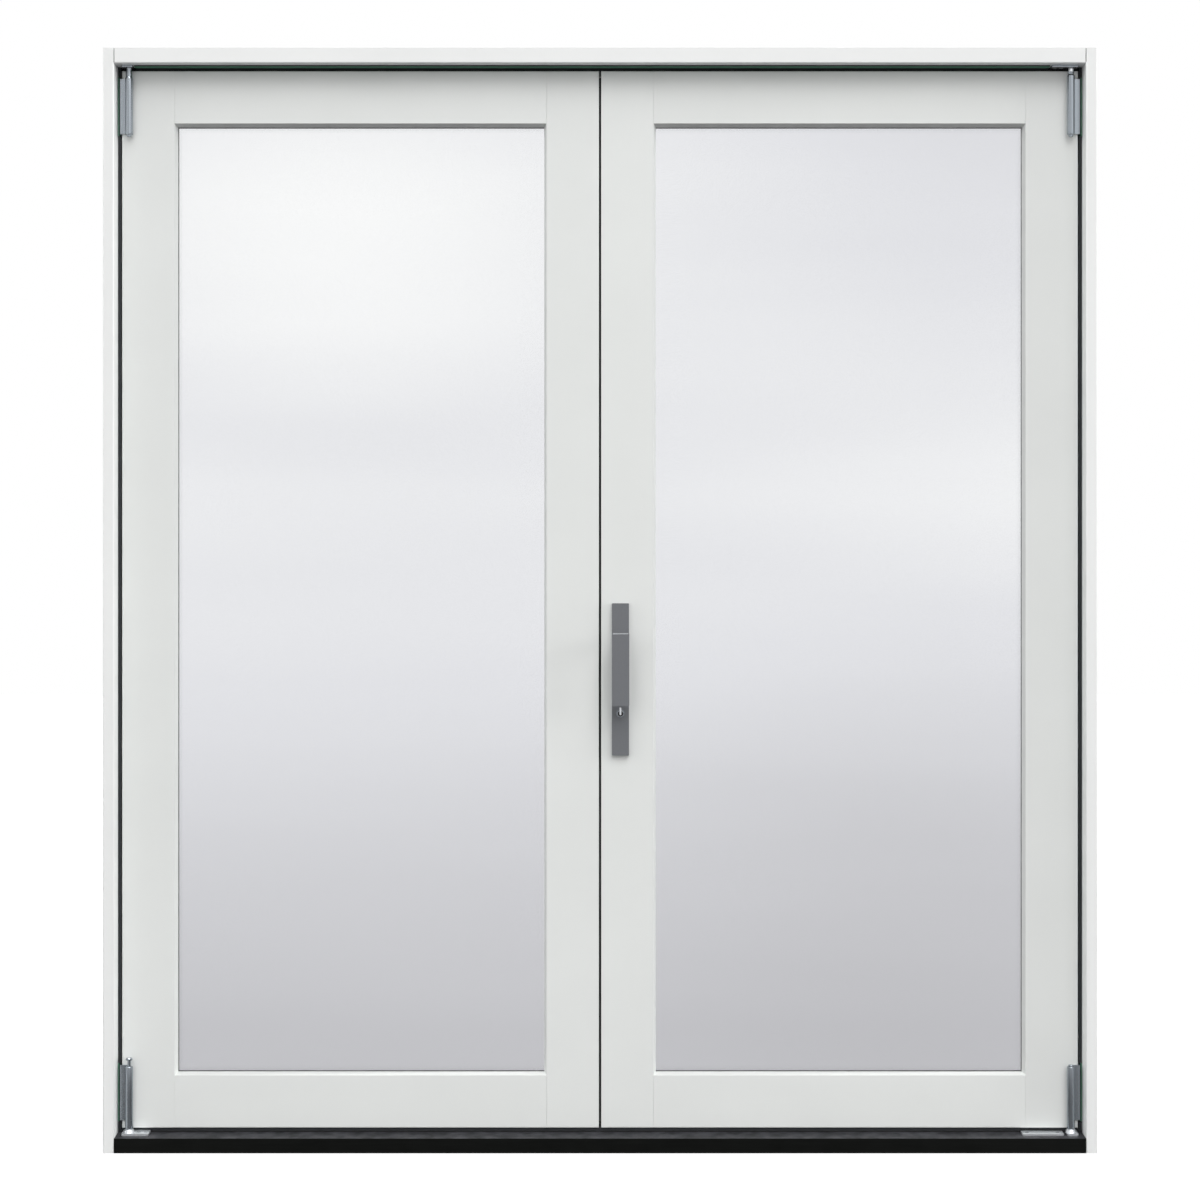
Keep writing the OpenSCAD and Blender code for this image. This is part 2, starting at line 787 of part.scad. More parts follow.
module frame_screws(gap = 0) color(steel) {
    for (x = bracket_screw_x) {
        mirror([1, 0, 0]) bottom_screw(x, bracket_t, gap);
        top_screw(x, gap);
    }
    for (x = sill_strip_screw_x) bottom_screw(x, sill_strip_t, gap);
    for (dx = keep_screw_dx) {
        for (x = [x_top_rod, -x_flush]) translate([x + dx, y_racks, 0]) keep_screw(z_head, gap);
        for (x = [x_bottom_rod, -x_flush]) translate([x + dx, y_racks, 0]) keep_screw(sill_h - keep_t, gap);
    }
}

// Right jamb, with its stop and the holes for the frame fixings
module jamb() color(frame_white) {
    difference() {
        linear_extrude(frame_h) difference() {
            polygon([
                [x_jamb, y_front], [x_out, y_front], [x_out, y_back],
                [x_stop, y_back], [x_stop, y_stop], [x_jamb, y_stop]
            ]);
            translate([x_jamb, y_front]) corner_cut(frame_arris_r);
            translate([x_out, y_front]) mirror([1, 0]) corner_cut(frame_arris_r);
        }
        for (i = [0:3])
            translate([x_jamb - eps, y_front + fixing_set, fixing_z + i * fixing_pitch])
                rotate([0, 90, 0]) cylinder(h = jamb_t + 2 * eps, r = fixing_r);
    }
}

module left_jamb() {
    mirror([1, 0, 0]) jamb();
}

module right_jamb() {
    jamb();
}

// Room for the stops of the jambs at the ends of the head and the sill
module jamb_stop_room() {
    both_sides() box([x_stop, y_stop, -eps], [x_jamb + eps, y_back + eps, frame_h + eps]);
}

module head() color(frame_white) {
    difference() {
        along_x(-x_jamb, x_jamb) difference() {
            polygon([
                [y_front, z_head], [y_front, frame_h], [y_back, frame_h],
                [y_back, z_head_stop], [y_stop, z_head_stop], [y_stop, z_head]
            ]);
            translate([y_front, z_head]) corner_cut(frame_arris_r);
        }
        both_sides() translate([x_jamb, y_front, z_head - eps]) mirror([1, 0, 0])
            linear_extrude(head_t + 2 * eps) corner_cut(frame_arris_r);
        jamb_stop_room();
        for (x = [x_top_rod, -x_flush]) {
            keep_plate(x, z_head, snug);
            bar_z(x, y_racks, z_head - eps, z_leaf_top + rod_travel + keep_bore_extra, bore_r + snug);
        }
        frame_screws(snug);
    }
}

module sill() color(sill_black) {
    difference() {
        along_x(-x_jamb, x_jamb) polygon([
            [y_front, 0], [y_front, sill_nose_h], [y_front + sill_slope_d, sill_h],
            [y_stop, sill_h], [y_stop, sill_stop_h], [y_back, sill_stop_h], [y_back, 0]
        ]);
        box([-x_jamb - eps, y_front + sill_slope_d - seal_groove_w, sill_h - seal_groove_d],
            [x_jamb + eps, y_front + sill_slope_d, sill_h + eps]);
        jamb_stop_room();
        for (x = [x_bottom_rod, -x_flush]) {
            keep_plate(x, sill_h - keep_t, snug);
            bar_z(x, y_racks, z_leaf - rod_travel - keep_bore_extra, sill_h, bore_r + snug);
        }
        frame_screws(snug);
    }
}

// Heights of the jambs' gap seals, which stop short of the hinge plates
gap_seal_z = [
    [sill_h, z_bottom_plate - plate_room],
    [z_bottom_plate + plate_len + plate_room, z_top_plate - plate_room],
    [z_top_plate + plate_len + plate_room, z_head]
];

// Seals in the gaps beside, above and below the leaves
module gap_seals() {
    x_end = x_jamb - strip_t;
    y_side = y_leaf + gap_seal_set;
    y_sill = y_front + sill_slope_d;
    both_sides() for (z = gap_seal_z)
        box([x_hinge + gap_seal_clear, y_side, z[0]], [x_jamb, y_side + gap_seal_d, z[1]]);
    box([-x_end, y_head_seal, z_leaf_top + gap_seal_clear], [x_end, y_head_seal + gap_seal_d, z_head]);
    box([-x_end, y_sill, sill_h], [x_end, y_sill + gap_seal_d, z_leaf - gap_seal_clear]);
}

// Seal all round the stops, and the seals in the gaps
module stop_seal() color(seal_black) {
    edge = 3;
    seal_t = stop_gap - seal_clear;
    difference() {
        box([-x_stop - edge - seal_w, y_stop - seal_t, sill_stop_h - edge - seal_w],
            [x_stop + edge + seal_w, y_stop, z_head_stop + edge + seal_w]);
        box([-x_stop - edge, y_stop - stop_gap, sill_stop_h - edge],
            [x_stop + edge, y_stop + eps, z_head_stop + edge]);
    }
    gap_seals();
}

// Weather strips in the gap beside and above the leaves
module weather_strips() color(strip_green) {
    room = 2;
    y_strip = y_leaf + gap_seal_set + gap_seal_d + jamb_strip_set;
    y_head_strip = y_front + head_strip_set;
    both_sides()
        box([x_jamb - strip_t, y_strip, sill_h], [x_jamb, y_strip + jamb_strip_w, z_head]);
    box([-x_pivot + stub_len + room, y_head_strip, z_head - strip_t],
        [x_pivot - tail_len - room, y_head_seal - strip_room, z_head]);
}

module top_left_bracket() color(zinc) {
    mirror([1, 0, 0]) top_bracket(stub_len, false);
}

module top_right_bracket() color(zinc) {
    top_bracket(tail_len, true);
}

module bottom_left_bracket() color(zinc) {
    mirror([1, 0, 0]) bottom_bracket(tail_len);
}

module bottom_right_bracket() color(zinc) {
    bottom_bracket(stub_len);
}

module hinge_stile() {
    difference() {
        as_hinge_stile() stile(0);
        hinge_screws(snug);
    }
}

module left_hinge_stile() color(leaf_white) mirror([1, 0, 0]) hinge_stile();
module right_hinge_stile() color(leaf_white) hinge_stile();
module left_top_rail() color(leaf_white) mirror([1, 0, 0]) as_top_rail() rail();
module right_top_rail() color(leaf_white) as_top_rail() rail();
module left_bottom_rail() color(leaf_white) mirror([1, 0, 0]) as_bottom_rail() rail();
module right_bottom_rail() color(leaf_white) as_bottom_rail() rail();
module left_outer_pane() color(glass_tint) mirror([1, 0, 0]) outer_pane();
module right_outer_pane() color(glass_tint) outer_pane();
module left_inner_pane() color(glass_tint) mirror([1, 0, 0]) inner_pane();
module right_inner_pane() color(glass_tint) inner_pane();
module left_spacer() color(seal_black) mirror([1, 0, 0]) spacer();
module right_spacer() color(seal_black) spacer();
module left_beads() color(leaf_white) mirror([1, 0, 0]) beads();
module right_beads() color(leaf_white) beads();
module left_tapes() color(seal_black) mirror([1, 0, 0]) tapes();
module right_tapes() color(seal_black) tapes();
module left_setting_blocks() color(seal_black) mirror([1, 0, 0]) setting_blocks();
module right_setting_blocks() color(seal_black) setting_blocks();
module left_top_hinge() color(zinc) mirror([1, 0, 0]) top_hinge(left_shoulder_h);
module right_top_hinge() color(zinc) top_hinge(right_shoulder_h);
module left_bottom_hinge() color(zinc) mirror([1, 0, 0]) bottom_hinge();
module right_bottom_hinge() color(zinc) bottom_hinge();
module right_screws() color(steel) hinge_screws();

// Plate let into a meeting edge, drawn on the right leaf's edge
module edge_plate(y, z0, z1, gap = 0) {
    half = edge_plate_w / 2 + gap;
    along_x(x_edge - gap, x_edge + edge_plate_t + gap)
        soft_rect([y - half, z0 - gap], [y + half, z1 + gap], plate_round);
}

// Screw through an edge plate into its stile
module edge_screw(y, z, gap = 0, length = screw_len) {
    translate([x_edge, y, z]) rotate([0, -90, 0]) screw(length, gap);
}

// Lock lines on the edge
forend_z0 = z_lower_screw - forend_over;
forend_z1 = z_upper_screw + forend_over;
forend_screw_z = [forend_z0 + 8, forend_z1 - 8];

module forend() color(steel) {
    difference() {
        edge_plate(y_bolt, forend_z0, forend_z1);
        bolt_slot(x_edge - eps, x_case + eps);
        for (z = forend_screw_z) edge_screw(y_bolt, z, snug);
    }
}

// Slot that the deadbolt slides through
module bolt_slot(x0, x1) {
    box([x0, y_bolt - bolt_w / 2 - fit, z_bolt_top - bolt_h - fit],
        [x1, y_bolt + bolt_w / 2 + fit, z_bolt_top + fit]);
}

// Case: a tray with its open side to the outside, closed by the cover
module lock_case() color(steel) {
    difference() {
        box([x_case, y_cavity, z_cavity - case_wall],
            [x_case_end + case_wall, y_cavity_end + case_wall, z_cavity_end + case_wall]);
        box([x_case_in, y_cavity - eps, z_cavity], [x_case_end, y_cavity_end, z_cavity_end]);
        bolt_slot(x_case - eps, x_case_in + eps);
        lock_shaft_holes(y_cavity_end - eps, y_cavity_end + case_wall + eps);
        bar_z(x_top_rod, y_racks, z_cavity_end - eps, z_cavity_end + case_wall + eps, rod_r + fit);
        bar_z(x_bottom_rod, y_racks, z_cavity - case_wall - eps, z_cavity + eps, rod_r + fit);
    }
}

module lock_shaft_holes(y0, y1) {
    bar_y(x_spindle, spindle_z, y0, y1, hub_r + fit);
    bar_y(x_spindle, z_turn, y0, y1, turn_shaft_r + fit);
}

module lock_cover() color(steel) {
    difference() {
        box([x_case, y_cavity - case_wall, z_cavity - case_wall],
            [x_case_end + case_wall, y_cavity, z_cavity_end + case_wall]);
        lock_shaft_holes(y_cavity - case_wall - eps, y_cavity + eps);
    }
}

// Pocket in the stile for the case and its cover
module case_pocket() {
    box([x_case - snug, y_cavity - case_wall - snug, z_cavity - case_wall - snug],
        [x_case_end + case_wall + snug, y_cavity_end + case_wall + snug, z_cavity_end + case_wall + snug]);
}

// Bolts that pull the two handle plates together
module handle_bolts(gap = 0) {
    for (z = [z_upper_screw, z_lower_screw]) {
        bar_y(x_spindle, z, y_leaf - handle_t / 2 - gap, y_leaf_back + handle_t, bolt_screw_r + gap);
        translate([x_spindle, y_leaf_back + handle_t, z]) rotate([-90, 0, 0])
            translate([0, 0, -head_h]) cylinder(h = head_h + gap, r1 = shank_r + gap, r2 = head_r + gap);
    }
}

module lock_screws(gap = 0) color(steel) {
    handle_bolts(gap);
    for (z = forend_screw_z) edge_screw(y_bolt, z, gap);
}

module right_meeting_stile() color(leaf_white) {
    wide = 3;
    difference() {
        as_meeting_stile() stile(nosing_in);
        edge_plate(y_bolt, forend_z0, forend_z1, snug);
        case_pocket();
        lock_screws(snug);
        bar_y(x_spindle, spindle_z, y_leaf - eps, y_leaf_back + eps, neck_r + wide);
        bar_y(x_spindle, z_turn, y_leaf - eps, y_leaf_back + eps, plug_r + wide);
        bar_z(x_top_rod, y_racks, spindle_z, z_leaf_top + eps, bore_r);
        bar_z(x_bottom_rod, y_racks, z_leaf - eps, spindle_z, bore_r);
    }
}

// Lines of the left meeting edge, drawn on the right
keep_over = 24;
bolt_keep_z0 = z_bolt_top - bolt_h - keep_over;
bolt_keep_z1 = z_bolt_top + keep_over;
bolt_keep_screw_z = [bolt_keep_z0 + 9, bolt_keep_z1 - 9];
flush_plate_z = [z_leaf_top - flush_plate_set - flush_plate_len, z_leaf + flush_plate_set];
flush_thumb_z = [z_leaf_top - flush_plate_set - flush_plate_len / 2,
                 z_leaf + flush_plate_set + flush_plate_len / 2];
flush_slot_z = [[0, flush_travel], [-flush_travel, 0]];
flush_screw_z = [10, flush_plate_len - 10];

module deadbolt_keep() color(steel) mirror([1, 0, 0]) difference() {
    edge_plate(y_bolt, bolt_keep_z0, bolt_keep_z1);
    keep_pocket();
    for (z = bolt_keep_screw_z) edge_screw(y_bolt, z, snug);
}

// Room in the keep and the left stile for the deadbolt
module keep_pocket() {
    room = 0.8;
    box([x_edge - eps, y_bolt - bolt_w / 2 - room, z_bolt_top - bolt_h - room],
        [bolt_travel - bolt_tip + slide, y_bolt + bolt_w / 2 + room, z_bolt_top + room]);
}

// Slot for the thumb piece of a flush bolt
module flush_slot(i, x1) {
    half_w = thumb_w / 2 + slide;
    half_h = thumb_h / 2 + slide;
    box([x_edge - eps, y_racks - half_w, flush_thumb_z[i] - half_h + flush_slot_z[i][0]],
        [x1, y_racks + half_w, flush_thumb_z[i] + half_h + flush_slot_z[i][1]]);
}

module flush_bolt_plates() color(steel) mirror([1, 0, 0]) for (i = [0, 1]) difference() {
    edge_plate(y_racks, flush_plate_z[i], flush_plate_z[i] + flush_plate_len);
    flush_slot(i, x_case + eps);
    flush_screws(i, snug);
}

// Short screws of a flush bolt's plate, which end clear of the bolt
module flush_screws(i, gap = 0) {
    for (z = flush_screw_z)
        edge_screw(y_racks, flush_plate_z[i] + z, gap, x_flush - rod_r - slide - x_edge);
}

module left_edge_screws(gap = 0) {
    for (z = bolt_keep_screw_z) edge_screw(y_bolt, z, gap);
    for (i = [0, 1]) flush_screws(i, gap);
}

module left_screws() color(steel) mirror([1, 0, 0]) {
    hinge_screws();
    left_edge_screws();
}

module left_meeting_stile() color(leaf_white) mirror([1, 0, 0]) difference() {
    as_meeting_stile() stile(nosing_in);
    edge_plate(y_bolt, bolt_keep_z0, bolt_keep_z1, snug);
    keep_pocket();
    left_edge_screws(snug);
    for (i = [0, 1]) {
        edge_plate(y_racks, flush_plate_z[i], flush_plate_z[i] + flush_plate_len, snug);
        flush_slot(i, x_flush);
    }
    bar_z(x_flush, y_racks, z_leaf_top - flush_len - 10, z_leaf_top + eps, rod_r + fit);
    bar_z(x_flush, y_racks, z_leaf - eps, z_leaf + flush_len + 10, rod_r + fit);
}

// Flush bolt with its thumb piece
module flush_bolt(i, z0, z1) {
    bar_z(x_flush, y_racks, z0, z1, rod_r);
    box([x_edge - thumb_out, y_racks - thumb_w / 2, flush_thumb_z[i] - thumb_h / 2],
        [x_flush, y_racks + thumb_w / 2, flush_thumb_z[i] + thumb_h / 2]);
}

module top_flush_bolt() color(zinc) mirror([1, 0, 0])
    flush_bolt(0, z_leaf_top - flush_len, z_leaf_top - rod_inset);

module bottom_flush_bolt() color(zinc) mirror([1, 0, 0])
    flush_bolt(1, z_leaf + rod_inset, z_leaf + flush_len);

// Fin that closes the gap between the leaves, on a foot on the right leaf
module meeting_seal() color(seal_black) {
    foot_w = 9;
    foot_t = 2;
    y0 = y_leaf_back - fin_set - foot_w;
    box([x_edge - foot_t, y0, z_leaf], [x_edge, y0 + foot_w, z_leaf_top]);
    box([-x_edge + fin_clear, y0 + (foot_w - fin_t) / 2, z_leaf],
        [x_edge, y0 + (foot_w + fin_t) / 2, z_leaf_top]);
}

// Handle plate between two depths, bored for the lever's neck and the turn piece
module handle_plate(y0, y1, turn_hole_r) {
    difference() {
        along_y(y0, y1)
            soft_rect([x_spindle - handle_w / 2, spindle_z - handle_down],
                      [x_spindle + handle_w / 2, spindle_z + handle_up], handle_round);
        bar_y(x_spindle, spindle_z, y0 - eps, y1 + eps, neck_r + fit);
        bar_y(x_spindle, z_turn, y0 - eps, y1 + eps, turn_hole_r + fit);
        handle_bolts(snug);
    }
}

module outside_plate() color(graphite) handle_plate(y_leaf - handle_t, y_leaf, plug_r);
module inside_plate() color(graphite) handle_plate(y_leaf_back, y_leaf_back + handle_t, plug_r);

// Lever that hangs from its neck, with the grip in front of the plate
module lever(y_plate, y_neck, side) {
    y_grip = y_plate + side * lever_gap;
    y_face = y_grip + side * lever_t;
    difference() {
        union() {
            along_y(min(y_grip, y_face), max(y_grip, y_face))
                soft_rect([x_spindle - handle_w / 2, spindle_z - lever_len],
                          [x_spindle + handle_w / 2, spindle_z + lever_heel], handle_round);
            bar_y(x_spindle, spindle_z, min(y_neck, y_grip + side), max(y_neck, y_grip + side), neck_r);
        }
        spindle_bar(y_grip, y_neck - side * eps, snug);
    }
}

// Square bar on the handle's axis
module spindle_bar(ya, yb, gap = 0) {
    half = spindle_s / 2 + gap;
    box([x_spindle - half, min(ya, yb), spindle_z - half], [x_spindle + half, max(ya, yb), spindle_z + half]);
}

module outside_lever() color(graphite) lever(y_leaf - handle_t, y_leaf, -1);
module inside_lever() color(graphite) lever(y_leaf_back + handle_t, y_leaf_back, 1);

module spindle() color(steel)
    spindle_bar(y_leaf - handle_t - lever_gap + 0.5, y_leaf_back + handle_t + lever_gap - 0.5);

module drive_pinion() color(steel) difference() {
    union() {
        along_y(y_racks - rack_w / 2, y_racks + rack_w / 2)
            translate([x_spindle, spindle_z]) gear_outline(drive_m, drive_n);
        bar_y(x_spindle, spindle_z, y_cavity - case_wall, y_cavity_end + case_wall, hub_r);
    }
    spindle_bar(y_cavity - case_wall - eps, y_cavity_end + case_wall + eps, snug);
}

// Rod on the right of the pinion, with its rack; it rises as the lever is raised
module top_rod() color(zinc) {
    teeth = ceil((mesh_len + rod_travel) / (PI * drive_m));
    up = ceil(mesh_len / (PI * drive_m));
    x_root = x_spindle + drive_r + drive_root;
    z0 = spindle_z - mesh_len - rod_travel - 2;
    z1 = spindle_z + mesh_len + bar_over;
    box([x_root, y_racks - rack_w / 2, z0], [x_root + rack_bar_t, y_racks + rack_w / 2, z1]);
    bar_z(x_top_rod, y_racks, z1 - 4, z_leaf_top - rod_inset, rod_r);
    intersection() {
        box([0, y_racks - rack_w / 2, z0], [x_root + eps, y_racks + rack_w / 2, z1]);
        along_y(y_racks - rack_w / 2, y_racks + rack_w / 2)
            translate([x_spindle + drive_r, spindle_z]) rotate(90)
                translate([PI * drive_m / 2, 0]) rack_teeth(drive_m, -teeth - 1, up);
    }
}

// Rod on the left of the pinion, with its rack; it drops as the lever is raised
module bottom_rod() color(zinc) {
    teeth = ceil((mesh_len + rod_travel) / (PI * drive_m));
    down = ceil(mesh_len / (PI * drive_m));
    x_root = x_spindle - drive_r - drive_root;
    z0 = spindle_z - mesh_len - bar_over;
    z1 = spindle_z + mesh_len + rod_travel + 2;
    box([x_root - rack_bar_t, y_racks - rack_w / 2, z0], [x_root, y_racks + rack_w / 2, z1]);
    bar_z(x_bottom_rod, y_racks, z_leaf + rod_inset, z0 + 4, rod_r);
    intersection() {
        box([x_root - eps, y_racks - rack_w / 2, z0], [x_spindle, y_racks + rack_w / 2, z1]);
        along_y(y_racks - rack_w / 2, y_racks + rack_w / 2)
            translate([x_spindle - drive_r, spindle_z]) rotate(-90)
                translate([PI * drive_m / 2, 0]) rack_teeth(drive_m, -teeth - 1, down);
    }
}

// Turn piece: the outside plug, the shaft with the deadbolt's pinion and the inside knob
module turn_piece() color(steel) {
    knob_r = 10;
    knob_t = 5;
    grip_w = 5;
    grip_h = 14;
    y_knob = y_leaf_back + handle_t + seat;
    y_plug = y_leaf - handle_t - plug_out;
    difference() {
        bar_y(x_spindle, z_turn, y_plug, y_leaf, plug_r);
        box([x_spindle - 0.8, y_plug - eps, z_turn - 3.4], [x_spindle + 0.8, y_plug + 2, z_turn + 3.4]);
    }
    bar_y(x_spindle, z_turn, y_leaf - eps, y_knob + eps, turn_shaft_r);
    along_y(y_bolt - bolt_w / 2, y_bolt + bolt_w / 2)
        translate([x_spindle, z_turn]) gear_outline(turn_m, turn_n);
    bar_y(x_spindle, z_turn, y_leaf_back, y_leaf_back + handle_t, plug_r);
    bar_y(x_spindle, z_turn, y_knob, y_knob + knob_t, knob_r);
    along_y(y_knob + knob_t - eps, y_knob + knob_t + grip_h)
        soft_rect([x_spindle - grip_w / 2, z_turn - knob_r], [x_spindle + grip_w / 2, z_turn + knob_r], 2);
}

// Deadbolt with its rack under the turn piece's pinion
module deadbolt() color(zinc) {
    teeth = ceil((turn_mesh_len + bolt_travel) / (PI * turn_m));
    y0 = y_bolt - bolt_w / 2;
    y1 = y_bolt + bolt_w / 2;
    difference() {
        union() {
            box([bolt_tip, y0, z_bolt_top - bolt_h], [bolt_tail, y1, z_bolt_top]);
            intersection() {
                box([bolt_tip, y0, z_bolt_top - eps], [bolt_tail, y1, z_turn]);
                along_y(y0, y1)
                    translate([x_spindle, z_turn - turn_r]) rack_teeth(turn_m, 0, teeth);
            }
        }
        along_y(y_bolt - bolt_w, y_bolt + bolt_w)
            translate([bolt_tip, z_bolt_top - bolt_h]) corner_cut(2);
    }
}

left_jamb();
right_jamb();
head();
sill();
stop_seal();
weather_strips();
top_left_bracket();
top_right_bracket();
bottom_left_bracket();
bottom_right_bracket();
pivot_pins();
sill_strip();
head_keeps();
sill_keeps();
frame_screws();
left_hinge_stile();
left_meeting_stile();
left_top_rail();
left_bottom_rail();
left_outer_pane();
left_inner_pane();
left_spacer();
left_beads();
left_tapes();
left_setting_blocks();
left_top_hinge();
left_bottom_hinge();
left_screws();
deadbolt_keep();
flush_bolt_plates();
top_flush_bolt();
bottom_flush_bolt();
right_hinge_stile();
right_meeting_stile();
right_top_rail();
right_bottom_rail();
right_outer_pane();
right_inner_pane();
right_spacer();
right_beads();
right_tapes();
right_setting_blocks();
right_top_hinge();
right_bottom_hinge();
right_screws();
meeting_seal();
lock_case();
lock_cover();
forend();
outside_plate();
inside_plate();
lock_screws();
outside_lever();
inside_lever();
spindle();
drive_pinion();
top_rod();
bottom_rod();
turn_piece();
deadbolt();
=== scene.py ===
"""French doors in their frame, dressed in their finishes and set in a plain studio."""

import logging
import math
from dataclasses import dataclass, replace
from enum import Enum
from typing import Dict, List, Optional, Sequence, Tuple, Union

import bmesh
import bpy
from mathutils import Matrix, Vector


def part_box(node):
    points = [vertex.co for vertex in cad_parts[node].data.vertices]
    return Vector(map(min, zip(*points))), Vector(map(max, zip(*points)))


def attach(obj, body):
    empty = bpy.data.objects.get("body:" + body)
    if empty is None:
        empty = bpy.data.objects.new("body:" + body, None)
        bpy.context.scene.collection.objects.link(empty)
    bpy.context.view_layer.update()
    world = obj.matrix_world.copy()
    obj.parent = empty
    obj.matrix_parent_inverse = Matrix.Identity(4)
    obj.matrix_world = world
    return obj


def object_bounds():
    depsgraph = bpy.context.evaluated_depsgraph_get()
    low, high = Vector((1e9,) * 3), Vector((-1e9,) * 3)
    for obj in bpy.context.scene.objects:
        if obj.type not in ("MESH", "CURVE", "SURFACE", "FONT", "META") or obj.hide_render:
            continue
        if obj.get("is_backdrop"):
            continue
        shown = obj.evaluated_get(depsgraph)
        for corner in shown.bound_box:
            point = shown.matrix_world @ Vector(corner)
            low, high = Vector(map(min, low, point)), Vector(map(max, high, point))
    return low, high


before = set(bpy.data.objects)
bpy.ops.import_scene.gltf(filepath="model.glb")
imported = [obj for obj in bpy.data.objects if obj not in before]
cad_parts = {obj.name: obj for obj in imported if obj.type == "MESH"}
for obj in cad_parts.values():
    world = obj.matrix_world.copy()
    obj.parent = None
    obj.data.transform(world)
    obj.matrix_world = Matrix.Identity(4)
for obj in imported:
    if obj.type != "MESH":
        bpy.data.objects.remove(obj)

LOG = logging.getLogger("french_doors")
MM = 0.001
# Corners this close are one corner, lie on one face, or belong to one end.
WELD = 0.01 * MM
FLUSH = 0.05 * MM
NEAR = 0.1 * MM
# Edges that turn by more than this are rounded, with the profile of a quarter circle.
SHARP = math.radians(40.0)
ROUND = 0.5
TURN_STEPS = 48
# Where the colour mixing node keeps its two colours and its result.
MIX_FIRST, MIX_SECOND, MIX_RESULT = 6, 7, 2
SCREWS = {"frame_screws": "frame", "left_screws": "left_leaf", "right_screws": "right_leaf",
          "lock_screws": "right_leaf"}

Colour = Tuple[float, float, float, float]
Triple = Tuple[float, float, float]
Span = Tuple[float, float]
Box = Tuple[Vector, Vector]
Socket = bpy.types.NodeSocket
Value = Union[float, Colour, Socket]
Material = bpy.types.Material
Shape = bmesh.types.BMesh

WHITE: Colour = (1.0, 1.0, 1.0, 1.0)
FULL: Span = (0.0, 1.0)
MIDDLE: Span = (0.3, 0.7)
DEEP = Vector((0.0, 1.0, 0.0))
UP = Vector((0.0, 0.0, 1.0))


def srgb(red: float, green: float, blue: float) -> Colour:
    """Turn a screen colour into the linear one that shaders use.

    Args:
        red: Red from 0 to 255.
        green: Green from 0 to 255.
        blue: Blue from 0 to 255.

    Returns:
        The linear colour with full alpha.
    """
    def linear(channel: float) -> float:
        """Undo the screen's curve for one channel."""
        c = channel / 255.0
        return c / 12.92 if c <= 0.04045 else ((c + 0.055) / 1.055) ** 2.4

    return (linear(red), linear(green), linear(blue), 1.0)


class Grain(Enum):
    """Which way the grain or brushing of a piece runs."""

    UPRIGHT = "z"
    ACROSS = "x"

    @property
    def turn(self) -> Triple:
        """Rotation that lays the pattern's own Z along this direction."""
        return (0.0, math.pi / 2 if self is Grain.ACROSS else 0.0, 0.0)


class Side(Enum):
    """The two leaves, seen from outside."""

    LEFT = "left"
    RIGHT = "right"

    @property
    def sign(self) -> float:
        """Sign of X on this side."""
        return 1.0 if self is Side.RIGHT else -1.0


class Face(Enum):
    """The two faces of the doors."""

    OUTSIDE = "outside"
    INSIDE = "inside"


